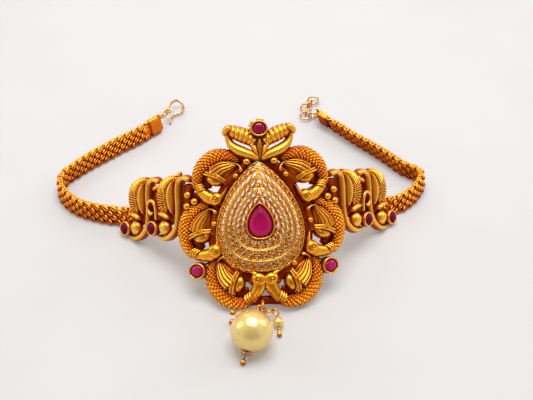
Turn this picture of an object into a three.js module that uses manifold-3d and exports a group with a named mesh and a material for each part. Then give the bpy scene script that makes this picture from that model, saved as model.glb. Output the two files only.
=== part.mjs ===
// An open armlet in antique gold: a curved plaque with a pierced filigree dome, six peacocks,
// a crest and a cluster of pearl drops, two paisley wings, and a woven chain band on each side
// that ends in a hook on one side and in three extender rings on the other.
// It lies open, leaning back on its lower lobes and on the rear ends of its wings.
// Millimetres, +Z up. The base is at Z = 0 and the middle of the footprint is on the Z axis.
import * as THREE from 'three';
import { mergeVertices } from 'three/addons/utils/BufferGeometryUtils.js';
import Module from 'manifold-3d';

const wasm = await Module();
wasm.setup();

// Plaque and wings: s runs round the arm from the middle, v up the plaque, w out from its back.
const ARM_RADIUS = 42; // curve of the plaque round the arm
const WING_FROM = 22; // distance s where each flat wing leaves the curve
const WING_TURN = 47; // how far a wing turns back, in degrees
const LEAN = 48.8; // how far the plaque leans back from upright, in degrees
const LIFT = 20.12; // height of the plaque's middle over the table
const MOTIF_PITCH = 14.2; // from one paisley to the next along a wing
const GAP = 0.3; // clearance between separate pieces

// Centre of the plaque
const PEAR = { half: 3.2, top: 4.9, bottom: -4.7 }; // the pear ruby's outline
const PEAR_SEAT = 3.6; // height of the ledge that the pear ruby sits on
const BEZEL_WALL = 0.75;
const DOME = { half: 12.5, top: 16.9, bottom: -15.1 }; // the filigree dome's outline
const DOME_EDGE = 1.3; // height of the dome's edge
const DOME_CROWN = 4.6; // height of the dome beside the pear ruby's bezel
const DOME_SHEET = 0.8; // thickness of the pierced sheet
const DOME_CELLS = [17, 25, 33]; // pierced cells in each row, from the inside out
const DOME_SHIFT = -0.7; // the dome sits a little left of the frame's middle

// Stones and beads
const SMALL_STONE = 1.8; // radius of the round rubies
const SMALL_BEZEL = 2.4; // outer radius of their bezels
const CREST_RUBY = { at: [0, 26.7], foot: 1.2, seat: 3.0, rim: 4.7 };
const SIDE_RUBY = { at: [19.0, -14.1], foot: 0, seat: 1.9, rim: 3.5 };
const BIG_PEARL = 6; // radius
const SMALL_PEARL = { radius: 1.5, half: 1.65 }; // half is measured along its hole
const BIG_HOLE = 0.55; // radius of the large pearl's hole
const SMALL_HOLE = 0.42;

// Chains and fittings
const CHAIN_HEIGHT = 6.0;
const CHAIN_THICK = 1.9;
const RING_OUTER = 2.3; // outer radius of an extender ring
const RING_WIRE = 0.32; // radius of its wire
const HOOK_WIRE = 0.42; // radius of the hook's wire
const EYE_OUTER = 1.35; // outer radius of the eyes on the caps and the hook
const EYE_WIRE = 0.35;
const TALL = 9; // a height over everything on the plaque, for the tools that clear a room

const rad = THREE.MathUtils.degToRad;
const lerp = THREE.MathUtils.lerp;

// ---------------------------------------------------------------- solids

// Closed skin over rings of points: quads between neighbours, and a fan over each open end.
function skin(rings, looped = false) {
  const n = rings[0].length;
  const points = rings.flat();
  const faces = [];
  const last = looped ? rings.length : rings.length - 1;
  for (let i = 0; i < last; i += 1) {
    const here = i * n;
    const next = ((i + 1) % rings.length) * n;
    for (let j = 0; j < n; j += 1) {
      const k = (j + 1) % n;
      faces.push(here + j, here + k, next + k, here + j, next + k, next + j);
    }
  }
  if (!looped) {
    const end = (rings.length - 1) * n;
    for (let j = 1; j < n - 1; j += 1) {
      faces.push(0, j + 1, j, end, end + j, end + j + 1);
    }
  }
  const geometry = new THREE.BufferGeometry();
  geometry.setAttribute('position', new THREE.Float32BufferAttribute(points.flat(), 3));
  geometry.setIndex(faces);
  return geometry;
}

// A geometry as a solid that can be joined and cut; side = -1 mirrors it in s.
function solid(geometry, side = 1) {
  const bare = geometry.index ? geometry.toNonIndexed() : geometry.clone();
  const only = new THREE.BufferGeometry();
  only.setAttribute('position', bare.getAttribute('position').clone());
  const merged = mergeVertices(only, 1e-4);
  const places = merged.attributes.position.array;
  const corners = new Uint32Array(merged.index.array);
  if (side < 0) {
    for (let i = 0; i < places.length; i += 3) places[i] *= -1;
    for (let i = 0; i < corners.length; i += 3) {
      [corners[i + 1], corners[i + 2]] = [corners[i + 2], corners[i + 1]];
    }
  }
  const made = new wasm.Manifold(new wasm.Mesh({ numProp: 3, vertProperties: places, triVerts: corners }));
  if (made.volume() > 0) return made;
  const turned = new wasm.Mesh({ numProp: 3, vertProperties: places, triVerts: corners.reverse() });
  return new wasm.Manifold(turned);
}

function joined(parts) {
  return parts.reduce((whole, part) => whole.add(part));
}

// The solid as a three.js geometry, with every point moved by place(x, y, z).
function geometryOf(body, place = (x, y, z) => [x, y, z]) {
  const mesh = body.getMesh();
  const moved = [];
  for (let i = 0; i < mesh.vertProperties.length; i += mesh.numProp) {
    moved.push(...place(...mesh.vertProperties.slice(i, i + 3)));
  }
  const geometry = new THREE.BufferGeometry();
  geometry.setAttribute('position', new THREE.Float32BufferAttribute(moved, 3));
  geometry.setIndex(new THREE.BufferAttribute(mesh.triVerts.slice(), 1));
  return geometry;
}

// ---------------------------------------------------------------- places

// The plaque leans back and stands over the table.
function leaned(x, v, z) {
  const c = Math.cos(rad(LEAN));
  const k = Math.sin(rad(LEAN));
  return [x, v * c - z * k, v * k + z * c + LIFT];
}

// Round the arm: a circle of ARM_RADIUS through the middle of the plaque.
function onArm(s, v, w) {
  const turn = s / ARM_RADIUS;
  const out = ARM_RADIUS + w;
  return leaned(out * Math.sin(turn), v, out * Math.cos(turn) - ARM_RADIUS);
}

// The dome and its stone, in the dome's own middle.
function onDome(s, v, w) {
  return onArm(s + DOME_SHIFT, v, w);
}

// Along a wing: a flat that leaves the circle at WING_FROM. side is 1 or -1.
function onWing(s, v, w, side = 1) {
  const start = WING_FROM / ARM_RADIUS;
  const d = s - WING_FROM;
  const c = Math.cos(rad(WING_TURN));
  const k = Math.sin(rad(WING_TURN));
  const x = ARM_RADIUS * Math.sin(start) + d * c + w * k;
  const z = ARM_RADIUS * (Math.cos(start) - 1) - d * k + w * c;
  return leaned(side * x, v, z);
}

// ---------------------------------------------------------------- relief pieces

const LOW_ARCH = [0, 60, 120, 180].map((a) => [Math.cos(rad(a)), Math.sin(rad(a))]);
const PEAK = [[1, 0], [0, 1.05], [-1, 0]];
const FAN_RIBS = 3;

// A section with ribs side by side: it rises at the edges and swells towards the middle.
function ribbedSection(ribs) {
  const points = [[1, 0]];
  for (let i = 0; i <= 2 * ribs; i += 1) {
    const a = 1 - i / ribs;
    points.push([a, (0.72 + 0.18 * (1 - a * a)) * (i % 2 ? 1.1 : 0.82)]);
  }
  points.push([-1, 0]);
  return points;
}

// Value of a list of numbers at t from 0 to 1, straight between the entries.
function along(list, t) {
  if (typeof list === 'number') return list;
  if (list.length === 1) return list[0];
  const at = Math.min(t, 0.999999) * (list.length - 1);
  const i = Math.floor(at);
  return lerp(list[i], list[i + 1], at - i);
}

function flatCurve(path) {
  return new THREE.CatmullRomCurve3(
    path.map(([s, v]) => new THREE.Vector3(s, v, 0)), false, 'centripetal',
  );
}

// A raised band: a section carried along a flat path, with its own half width and height.
function band({ path, half, rise, base = 0, steps = 8, section = LOW_ARCH }) {
  const curve = flatCurve(path);
  const rings = [];
  for (let i = 0; i <= steps; i += 1) {
    const t = i / steps;
    const p = curve.getPointAt(t);
    const d = curve.getTangentAt(t);
    const wide = along(half, t);
    const high = along(rise, t);
    rings.push(section.map(([a, h]) => [p.x - d.y * a * wide, p.y + d.x * a * wide, base + h * high]));
  }
  return skin(rings);
}

// A bead that rises from the back of the plaque.
function granule([s, v], radius, top, sides = 5) {
  const profile = [[1, 0], [1, 0.55], [0.6, 1]];
  const rings = profile.map(([r, h]) => {
    const ring = [];
    for (let j = 0; j < sides; j += 1) {
      const a = (j / sides) * 2 * Math.PI;
      ring.push([s + radius * r * Math.cos(a), v + radius * r * Math.sin(a), top * h]);
    }
    return ring;
  });
  return skin(rings);
}

// A round setting: a wall round a seat. The stone sits inside it with a gap all round.
function setting([s, v], outer, hole, foot, seat, rim, sides = 10) {
  const profile = [[outer, foot], [outer, rim], [hole, rim], [hole, seat]];
  const rings = [];
  for (let j = 0; j < sides; j += 1) {
    const a = (j / sides) * 2 * Math.PI;
    rings.push(profile.map(([r, h]) => [s + r * Math.cos(a), v + r * Math.sin(a), h]));
  }
  const side = rings[0].length;
  const under = [s, v, foot];
  const over = [s, v, seat];
  const points = [...rings.flat(), under, over];
  const faces = [];
  const at = (j, k) => (j % sides) * side + k;
  for (let j = 0; j < sides; j += 1) {
    for (let k = 0; k < side - 1; k += 1) {
      faces.push(at(j, k), at(j + 1, k), at(j + 1, k + 1));
      faces.push(at(j, k), at(j + 1, k + 1), at(j, k + 1));
    }
    faces.push(points.length - 2, at(j + 1, 0), at(j, 0));
    faces.push(points.length - 1, at(j, side - 1), at(j + 1, side - 1));
  }
  const geometry = new THREE.BufferGeometry();
  geometry.setAttribute('position', new THREE.Float32BufferAttribute(points.flat(), 3));
  geometry.setIndex(faces);
  return geometry;
}

// The setting of one of the three round rubies on the plaque.
function smallSetting({ at, foot, seat, rim }) {
  return setting(at, SMALL_BEZEL, SMALL_STONE + GAP, foot, seat, rim);
}

// ---------------------------------------------------------------- the peacock

// One peacock, from the apex of its fan at (0, 0), drawn as it hangs at the plaque's right.
const PEACOCK = [
  // the granulated lobe that sweeps round the fan
  { path: [[-1.0, 1.6], [1.9, 1.6], [4.8, 0.3], [6.9, -2.0], [7.9, -4.9], [8.2, -7.7], [7.5, -10.4],
    [6.0, -12.4], [4.6, -13.3]],
  half: [0.6, 1.3, 1.7, 1.8, 2.0, 2.2, 2.1, 1.9, 1.7],
  rise: [2.0, 2.4, 2.6, 2.7, 2.7, 2.6, 2.5],
  steps: 7 },
  // the ribbed fan, from its apex to its closing band
  { path: [[-0.5, 0.7], [1.3, -1.3], [2.7, -3.4], [3.5, -6.2]],
    half: [0.6, 1.7, 2.3, 2.55],
    rise: [2.2, 3.0, 3.6, 3.6],
    steps: 3,
    section: 'fan' },
  // almond-shaped belly under the fan
  { path: [[-0.9, -6.9], [2.4, -8.0], [5.5, -8.5]], half: [0.8, 1.8, 0.9], rise: [1.9, 3.0, 2.1], steps: 3 },
  // band that closes the fan
  { path: [[-1.2, -5.9], [2.2, -6.3], [5.9, -7.7]],
    half: 0.75,
    rise: [2.6, 3.6, 3.0],
    steps: 2, section: PEAK },
  // curled tip over the fan's apex
  { path: [[0.2, 0.65], [-1.1, 0.75], [-2.2, 0.35], [-2.75, -0.45], [-2.6, -1.1]],
    half: [0.6, 0.6, 0.75, 0.9, 0.8],
    rise: [2.9, 2.9, 3.0, 3.2, 2.9],
    steps: 4,
    section: PEAK },
  // neck, head and beak
  { path: [[5.2, -13.3], [2.4, -13.4], [-0.2, -13.2], [-2.1, -12.0], [-2.9, -9.9], [-2.45, -7.3]],
    half: [1.6, 1.7, 1.85, 2.1, 1.0, 0.3],
    rise: [2.9, 3.1, 3.4, 3.7, 3.0, 1.9],
    steps: 5 },
  // collar
  { path: [[3.2, -11.5], [4.3, -12.9], [5.0, -14.9]],
    half: 0.95,
    rise: [2.6, 3.5, 2.6],
    steps: 2, section: PEAK },
  // low ground between the fan and the dome
  { path: [[-2.6, 2.4], [-2.3, -0.6], [-1.5, -3.6], [-0.6, -7.4]], half: 1.4, rise: 1.2, steps: 2 },
];
const EYE = { at: [-2.1, -11.8], radius: 0.75, top: 4.2 };

// Where the three peacocks of one side hang: apex, turn in degrees, and size.
const PERCHES = [
  { apex: [7.2, 16.5], turn: 39.5, size: 0.91 },
  { apex: [15.6, 3.2], turn: 0, size: 0.96 },
  { apex: [12.6, -12.2], turn: -57, size: 0.97 },
];

function perched([x, y], { apex, turn, size }) {
  const c = Math.cos(rad(turn)) * size;
  const k = Math.sin(rad(turn)) * size;
  return [apex[0] + x * c - y * k, apex[1] + x * k + y * c];
}

function peacock(perch) {
  const pieces = PEACOCK.map((piece) => solid(band({
    ...piece,
    section: piece.section === 'fan' ? ribbedSection(FAN_RIBS) : piece.section,
    path: piece.path.map((p) => perched(p, perch)),
    half: [piece.half].flat().map((h) => h * perch.size),
  })));
  pieces.push(solid(granule(perched(EYE.at, perch), EYE.radius, EYE.top)));
  return joined(pieces);
}

// ---------------------------------------------------------------- teardrops

// Teardrop outline: x = half k sin(u)^0.85 sin(u/2)^0.66, y runs from top to bottom as cos(u).
function drop({ half, top, bottom }, u) {
  const a = Math.abs(Math.sin(u));
  const b = Math.abs(Math.sin(u / 2));
  const x = 1.2 * half * Math.sign(Math.sin(u)) * a ** 0.85 * b ** 0.66;
  return [x, (top + bottom) / 2 + ((top - bottom) / 2) * Math.cos(u)];
}

// Points evenly spaced by length round a teardrop, each with its way out.
function dropStations(shape, count) {
  const fine = 720;
  const points = [];
  for (let i = 0; i <= fine; i += 1) points.push(drop(shape, (i / fine) * 2 * Math.PI));
  const run = [0];
  for (let i = 1; i <= fine; i += 1) {
    run.push(run[i - 1] + Math.hypot(points[i][0] - points[i - 1][0], points[i][1] - points[i - 1][1]));
  }
  const stations = [];
  let i = 0;
  for (let k = 0; k < count; k += 1) {
    const want = (k / count) * run[fine];
    while (run[i + 1] < want) i += 1;
    const [x, y] = points[i];
    const before = points[(i + fine - 3) % fine];
    const after = points[(i + 3) % fine];
    const length = Math.hypot(after[0] - before[0], after[1] - before[1]);
    stations.push({ x, y, out: [-(after[1] - before[1]) / length, (after[0] - before[0]) / length] });
  }
  return stations;
}

function between(a, b, t) {
  return { half: lerp(a.half, b.half, t), top: lerp(a.top, b.top, t), bottom: lerp(a.bottom, b.bottom, t) };
}

function grown(shape, by) {
  return { half: shape.half + by, top: shape.top + by * 1.25, bottom: shape.bottom - by };
}

// ---------------------------------------------------------------- the filigree dome

const CELL_OPEN = 0.66; // how much of a cell is open
const CELL_POINTS = 14; // points in one cell
const ROPE_LIFT = 0.5; // how far a row's raised lip stands over the sheet
const RIM_LIFT = 0.25;
const LIPS = [0.035, 0.035, 0.05]; // width of each row's lip, as a share of the dome's width
// Each row's place from the bezel (0) to the edge (1); the rows overlap, so that they join.
const ROW_SEAMS = [[-0.03, 0.35], [0.31, 0.68], [0.64, 1]];

const BEZEL = grown(PEAR, GAP + BEZEL_WALL);

// Height of the dome's top face from the bezel (0) to the edge (1).
function domeTop(t) {
  return lerp(DOME_EDGE, DOME_CROWN, Math.sqrt(Math.max(0, 1 - t * t * 0.98)));
}

// One pierced row: a ring of cells between two teardrops, each with a four-cornered opening through it.
// Its outer edge is raised into a lip; the last row's lip is the rim of the dome.
function piercedRow(from, to, count, lip) {
  const points = [];
  const faces = [];
  const station = (t) => dropStations(between(BEZEL, DOME, t), count);
  const [inside, crease, crown, outside] = [from, to - 2 * lip, to - lip, to].map(station);
  const put = (stations, k, w) => [stations[k % count].x, stations[k % count].y, w];
  for (let k = 0; k < count; k += 1) {
    const high = [domeTop(from), domeTop(to - 2 * lip)];
    const low = [high[0] - DOME_SHEET * 0.75, domeTop(to) - DOME_SHEET];
    points.push(put(inside, k, high[0]), put(inside, k, low[0]));
    points.push(put(crease, k, high[1]), put(outside, k, low[1]));
    for (const [edge, w] of [[crease, high], [outside, low]]) {
      const c = [put(inside, k, w[0]), put(edge, k, w[1]), put(edge, k + 1, w[1]), put(inside, k + 1, w[0])];
      const mid = [0, 1, 2].map((i) => (c[0][i] + c[1][i] + c[2][i] + c[3][i]) / 4);
      for (let e = 0; e < 4; e += 1) {
        points.push([0, 1, 2].map((i) => lerp(mid[i], (c[e][i] + c[(e + 1) % 4][i]) / 2, CELL_OPEN)));
      }
    }
    points.push(put(crown, k, high[1] + ROPE_LIFT), put(outside, k, low[1] + DOME_SHEET + RIM_LIFT));
  }
  const at = (k, i) => (k % count) * CELL_POINTS + i;
  const quad = (a, b, c, d) => faces.push(a, b, c, a, c, d);
  for (let k = 0; k < count; k += 1) {
    for (const under of [0, 1]) {
      const c = [at(k, under), at(k, 2 + under), at(k + 1, 2 + under), at(k + 1, under)];
      const m = [0, 1, 2, 3].map((e) => at(k, 4 + 4 * under + e));
      for (let e = 0; e < 4; e += 1) {
        const tris = [[c[e], c[(e + 1) % 4], m[e]], [m[e], c[(e + 1) % 4], m[(e + 1) % 4]]];
        for (const [p, q, r] of tris) faces.push(p, ...(under ? [q, r] : [r, q]));
      }
    }
    for (let e = 0; e < 4; e += 1) {
      const f = (e + 1) % 4;
      quad(at(k, 4 + f), at(k, 4 + e), at(k, 8 + e), at(k, 8 + f));
    }
    quad(at(k, 0), at(k, 1), at(k + 1, 1), at(k + 1, 0));
    quad(at(k, 12), at(k, 2), at(k + 1, 2), at(k + 1, 12));
    quad(at(k, 13), at(k, 12), at(k + 1, 12), at(k + 1, 13));
    quad(at(k, 3), at(k, 13), at(k + 1, 13), at(k + 1, 3));
  }
  const geometry = new THREE.BufferGeometry();
  geometry.setAttribute('position', new THREE.Float32BufferAttribute(points.flat(), 3));
  geometry.setIndex(faces);
  return solid(geometry);
}

const PEAR_BEZEL_FOOT = PEAR_SEAT - 1.0;
const PEAR_BEZEL_RIM = PEAR_SEAT + 1.9;
const PEAR_SIDES = 18;

function pearBezel() {
  const outer = grown(PEAR, GAP + BEZEL_WALL + 0.1);
  const hole = grown(PEAR, GAP);
  const ledge = grown(PEAR, -0.8);
  const rings = [];
  for (let i = 0; i < PEAR_SIDES; i += 1) {
    const u = ((i + 0.5) / PEAR_SIDES) * 2 * Math.PI;
    rings.push([
      [...drop(ledge, u), PEAR_BEZEL_FOOT], [...drop(outer, u), PEAR_BEZEL_FOOT],
      [...drop(outer, u), PEAR_BEZEL_RIM - 0.3], [...drop(hole, u), PEAR_BEZEL_RIM],
      [...drop(hole, u), PEAR_SEAT], [...drop(ledge, u), PEAR_SEAT],
    ]);
  }
  return solid(skin(rings, true));
}

function filigreeDome() {
  const rows = DOME_CELLS.map((count, i) => piercedRow(...ROW_SEAMS[i], count, LIPS[i]));
  return joined([...rows, pearBezel()]);
}

// ---------------------------------------------------------------- the crest

const ARM_RIBS = 4;
const CREST_STEM = {
  path: [[0, 17.0], [0, 21], [0, 26.5]],
  half: [0.8, 1.5, 1.6],
  rise: [2.6, 3.0, 2.2],
  steps: 2,
};
const CREST_GRAIN = { radius: 0.65, top: 2.6 };
const CREST_GRAIN_SPOTS = [[0, 29.3], [1.9, 28.5], [-1.9, 28.5]];

// The ribbed arm, the knob at its end and the smooth bow that runs back down to the stem.
function crestSide() {
  const ribbed = [];
  for (let i = 0; i <= 2 * ARM_RIBS; i += 1) ribbed.push(i % 2 ? 1.3 : 1.0);
  return [
    { path: [[1.0, 22.6], [4.4, 24.8], [8.2, 26.5]],
      half: ribbed.map((h) => h * 1.35),
      rise: ribbed.map((h) => h * 3.1),
      steps: 2 * ARM_RIBS },
    { path: [[7.2, 26.8], [8.7, 26.9], [9.3, 25.4]], half: [1.0, 1.2, 0.8], rise: [4.2, 4.5, 3.6], steps: 2 },
    { path: [[9.0, 25.8], [8.8, 23.7], [7.0, 21.4], [4.2, 19.9], [1.9, 18.7], [0.3, 17.5]],
      half: [0.8, 1.0, 1.35, 1.4, 1.2, 0.6],
      rise: [3.6, 3.4, 3.5, 3.6, 3.4, 3.0],
      steps: 6 },
  ];
}

function crest() {
  const pieces = [solid(band(CREST_STEM)), solid(smallSetting(CREST_RUBY))];
  for (const side of [1, -1]) {
    for (const piece of crestSide()) pieces.push(solid(band(piece), side));
  }
  for (const spot of CREST_GRAIN_SPOTS) {
    pieces.push(solid(granule(spot, CREST_GRAIN.radius, CREST_GRAIN.top)));
  }
  return pieces;
}

// ---------------------------------------------------------------- the plaque's frame

// A low ring round the dome's edge carries the peacocks.
const CARRIER = { clear: 0.25 + GAP, outer: 2.4, high: 1.1, sides: 24 };

function carrier() {
  const rings = [];
  const inner = grown(DOME, CARRIER.clear);
  const outer = grown(DOME, CARRIER.outer);
  for (let i = 0; i < CARRIER.sides; i += 1) {
    const u = ((i + 0.5) / CARRIER.sides) * 2 * Math.PI;
    rings.push([
      [...drop(inner, u), 0], [...drop(outer, u), 0],
      [...drop(outer, u), CARRIER.high], [...drop(inner, u), CARRIER.high],
    ]);
  }
  return solid(skin(rings, true)).translate([DOME_SHIFT, 0, 0]);
}

const BEADS = [
  { at: [3.75, 17.3], radius: 1.08, top: 3.2 },
  { at: [6.9, 13.3], radius: 0.85, top: 3.2 },
  { at: [13.5, -0.4], radius: 0.9, top: 3.2 },
  { at: [8.3, -12.8], radius: 0.9, top: 3.2 },
  { at: [21.4, 8.3], radius: 1.15, top: 3.2 },
  { at: [19.3, 6.3], radius: 1.15, top: 3.2 },
  { at: [21.7, 5.0], radius: 1.15, top: 3.2 },
];

// Low plates that tie the birds, the side bezels and the wings' ends together.
const LINKS = [
  { path: [[16.0, 6.4], [19.2, 6.5], [22.2, 6.7]], half: [1.2, 2.4, 2.3], rise: 1.0, steps: 4 },
  { path: [[15.6, -12.9], [19.0, -14.1]], half: [1.6, 1.3], rise: 1.6, steps: 2 },
  { path: [[0.0, -16.2], [2.8, -16.9], [4.4, -18.5]], half: [0.9, 1.0, 0.9], rise: 1.3, steps: 3 },
  { path: [[-0.6, -23.4], [2.6, -23.6], [5.2, -23.8]], half: 1.3, rise: 1.3, steps: 2 },
];

// A small standing ring at the foot of the plaque, for the drops.
const LUG = { s: -0.9, v: -24.5, w: 3.4, radius: 1.0, wire: 0.3, post: 0.6 };

function dropLug() {
  const ring = new THREE.TorusGeometry(LUG.radius, LUG.wire, 5, 10);
  ring.rotateY(Math.PI / 2);
  ring.translate(LUG.s, LUG.v, LUG.w);
  const post = granule([LUG.s, LUG.v + LUG.radius + 0.1], LUG.post, LUG.w + LUG.wire);
  return solid(ring).add(solid(post));
}

// The room that the dome stands in, with its clearance.
function domeRoom() {
  const stations = dropStations(grown(DOME, GAP), DOME_CELLS[2]);
  const room = skin([-1, TALL].map((w) => stations.map(({ x, y }) => [x, y, w])));
  return solid(room).translate([DOME_SHIFT, 0, 0]);
}

function frameBody() {
  const pieces = [carrier(), ...crest(), dropLug()];
  for (const perch of PERCHES) {
    const bird = peacock(perch);
    pieces.push(bird);
    pieces.push(solid(geometryOf(bird), -1));
  }
  for (const side of [1, -1]) {
    for (const bead of BEADS) pieces.push(solid(granule(bead.at, bead.radius, bead.top), side));
    for (const link of LINKS) pieces.push(solid(band(link), side));
    pieces.push(solid(smallSetting(SIDE_RUBY), side));
  }
  return joined(pieces).subtract(domeRoom());
}

// ---------------------------------------------------------------- a wing

// One paisley, drawn where the inner one sits on its wing.
const PAISLEY = [
  // smooth rope border: curl at the top, long stem, sweep under the bud
  { path: [[22.1, 12.7], [23.9, 13.1], [25.5, 11.6], [26.1, 8.5], [26.3, 4], [26.8, 0.6], [28.6, -2.4],
    [31.4, -4.3], [34.6, -4.6], [36.4, -3.6]], half: [0.7, 0.9, 0.9, 0.85, 0.85, 0.85, 0.9, 0.9, 0.85, 0.7],
  rise: [2.4, 2.8, 2.8, 2.7, 2.6, 2.6, 2.6, 2.6, 2.4, 2.2], steps: 9 },
  // smooth leaf
  { path: [[27.6, 12.8], [28.9, 9.6], [29.0, 6.6], [28.4, 2.6]],
    half: [0.5, 1.35, 1.4, 0.4],
    rise: [2.2, 3.1, 3.1, 2.2],
    steps: 4 },
  // ribbed fan behind the leaf, its ribs lying across it
  { path: [[26.4, 13.4], [29.2, 12.5], [31.6, 10.6], [32.5, 7.8], [32.3, 5.2], [31.2, 3.4]],
    half: [0.8, 1.5, 2.3, 2.5, 2.3, 1.9],
    rise: [1.9, 2.7, 2.3, 2.8, 2.3, 2.8, 2.3, 2.7, 2.0],
    steps: 8 },
  // crescent petal of the bud
  { path: [[30.0, 1.3], [32.0, 2.6], [35.0, 3.1]], half: [0.55, 0.9, 0.45], rise: [2.6, 3.3, 2.4], steps: 3,
    section: PEAK },
  // small leaf in front of the next paisley
  { path: [[33.4, 10.9], [35.2, 10.9], [36.9, 10.0]],
    half: [0.7, 0.8, 0.5],
    rise: [2.4, 3.1, 2.4],
    steps: 2 },
  // tail that curls into a loop over the next paisley
  { path: [[35.4, 1.6], [35.3, 4.6], [36.5, 6.6], [38.3, 6.3], [38.8, 4.4], [37.6, 3.0]],
    half: 0.6,
    rise: [2.4, 2.8, 3.0, 3.0, 2.9, 2.6],
    steps: 6,
    section: PEAK },
];
const NEXT_MOTIF_PIECES = 2; // the last two pieces lie over a next paisley
const BUD = { at: [32.6, -1.3], radius: 2.5, top: 3.0, sides: 8 };
const STONE_PITCH = 13.6; // between the two rubies of a wing

// The outer paisley has no next one, so it goes without the two pieces that lie over it.
function paisley(number) {
  const shift = number * MOTIF_PITCH;
  const drawn = number > 0 ? PAISLEY.slice(0, -NEXT_MOTIF_PIECES) : PAISLEY;
  const pieces = drawn.map((piece) => band({ ...piece, path: piece.path.map(([s, v]) => [s + shift, v]) }));
  pieces.push(granule([BUD.at[0] + shift, BUD.at[1]], BUD.radius, BUD.top, BUD.sides));
  return pieces;
}

// The strip behind both paisleys, and the feet that carry the bezels.
const WING_STRIP = {
  path: [[24.6, 4.4], [31, 4.4], [35.5, 5.0], [42, 4.6], [48.6, 4.8]],
  half: [4.4, 5.0, 5.6, 5.2, 5.2],
  rise: 1.0,
  steps: 6,
};
const WING_BEZEL = { at: [37.2, -1.5], outer: 2.3, stone: 1.65, foot: 1.3, seat: 2.0, rim: 3.3 };

function wingBezelAt(number) {
  return [WING_BEZEL.at[0] + number * STONE_PITCH, WING_BEZEL.at[1]];
}

function bezelFoot([s, v]) {
  return band({ path: [[s - 3.2, v], [s - 0.4, v]], half: [1.6, 1.4], base: 0.2, rise: 1.7, steps: 1 });
}

function wingBody() {
  const { outer, stone: radius, foot, seat, rim } = WING_BEZEL;
  const parts = [band(WING_STRIP)];
  const rooms = [];
  for (const number of [0, 1]) {
    const here = wingBezelAt(number);
    parts.push(...paisley(number));
    parts.push(setting(here, outer, radius + GAP, foot, seat, rim));
    parts.push(bezelFoot(here));
    rooms.push(solid(stoneRoom(here)));
  }
  return joined(parts.map((part) => solid(part))).subtract(joined(rooms));
}

// The round room over a bezel's seat, kept clear for the stone.
function stoneRoom([s, v]) {
  const hair = 0.02; // keeps the room's walls off the bezel's own
  const ring = circle(WING_BEZEL.stone + GAP - hair, 10);
  return skin([WING_BEZEL.seat + hair, TALL].map((w) => ring.map(([a, b]) => [s + a, v + b, w])));
}

// Cuts away what would stand below the table.
function onTable(body) {
  return body.trimByPlane([0, 0, 1], 0);
}

// ---------------------------------------------------------------- stones

// A faceted stone over a seat: girdle, crown facets and a flat table. outline(scale, turn) gives a ring.
function stone(outline, heights, scales, sides) {
  const rings = heights.map((w, i) => {
    const ring = [];
    for (let j = 0; j < sides; j += 1) {
      const u = ((j + (i % 2 ? 0.5 : 0)) / sides) * 2 * Math.PI;
      ring.push([...outline(scales[i], u), w]);
    }
    return ring;
  });
  return skin(rings);
}

function roundOutline([s, v], radius) {
  return (scale, u) => [s + radius * scale * Math.cos(u), v + radius * scale * Math.sin(u)];
}

function roundStone(centre, radius, seat) {
  const heights = [seat + 0.3, seat + 0.9, seat + 1.25, seat + 1.9];
  return stone(roundOutline(centre, radius), heights, [0.55, 1, 1, 0.55], 8);
}

function pearStone() {
  const sized = (scale, u) => {
    const [x, y] = drop(PEAR, u);
    return [-x * scale, (y + 0.6) * scale - 0.6];
  };
  const w = PEAR_SEAT;
  return stone(sized, [w + 0.3, w + 1.1, w + 1.5, w + 2.5], [0.72, 0.97, 0.97, 0.55], 14);
}

// ---------------------------------------------------------------- wires, rings and chains

function spaceCurve(points, looped = false) {
  return new THREE.CatmullRomCurve3(points.map((p) => new THREE.Vector3(...p)), looped, 'centripetal');
}

// A section carried along a space curve; up(t) keeps its second axis pointing the same way.
function sweep(points, section, steps, up, looped = false) {
  const curve = spaceCurve(points, looped);
  const rings = [];
  const count = looped ? steps : steps + 1;
  for (let i = 0; i < count; i += 1) {
    const t = i / steps;
    const p = curve.getPointAt(t);
    const d = curve.getTangentAt(t);
    const left = new THREE.Vector3().crossVectors(up(t), d).normalize();
    const top = new THREE.Vector3().crossVectors(d, left);
    rings.push(section(t).map(([a, b]) => {
      const q = p.clone().addScaledVector(left, a).addScaledVector(top, b);
      return [q.x, q.y, q.z];
    }));
  }
  return skin(rings, looped);
}

function circle(radius, sides) {
  const ring = [];
  for (let j = 0; j < sides; j += 1) {
    const a = ((j + 0.5) / sides) * 2 * Math.PI;
    ring.push([radius * Math.cos(a), radius * Math.sin(a)]);
  }
  return ring;
}

function wire(points, radius, steps, upright = [0, 0, 1], looped = false) {
  const up = new THREE.Vector3(...upright);
  return sweep(points, () => circle(radius, 5), steps, () => up, looped);
}

// A ring of round wire about a centre, facing along a direction.
function ringAt(centre, facing, outer, thick, sides = 14) {
  const ring = new THREE.TorusGeometry(outer - thick, thick, 5, sides);
  const turn = new THREE.Quaternion().setFromUnitVectors(
    new THREE.Vector3(0, 0, 1), new THREE.Vector3(...facing).normalize(),
  );
  ring.applyQuaternion(turn);
  ring.translate(...centre);
  return ring;
}

function ball(centre, radius, around = 12, down = 8) {
  const sphere = new THREE.SphereGeometry(radius, around, down);
  sphere.rotateX(Math.PI / 2);
  sphere.translate(...centre);
  return sphere;
}

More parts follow.
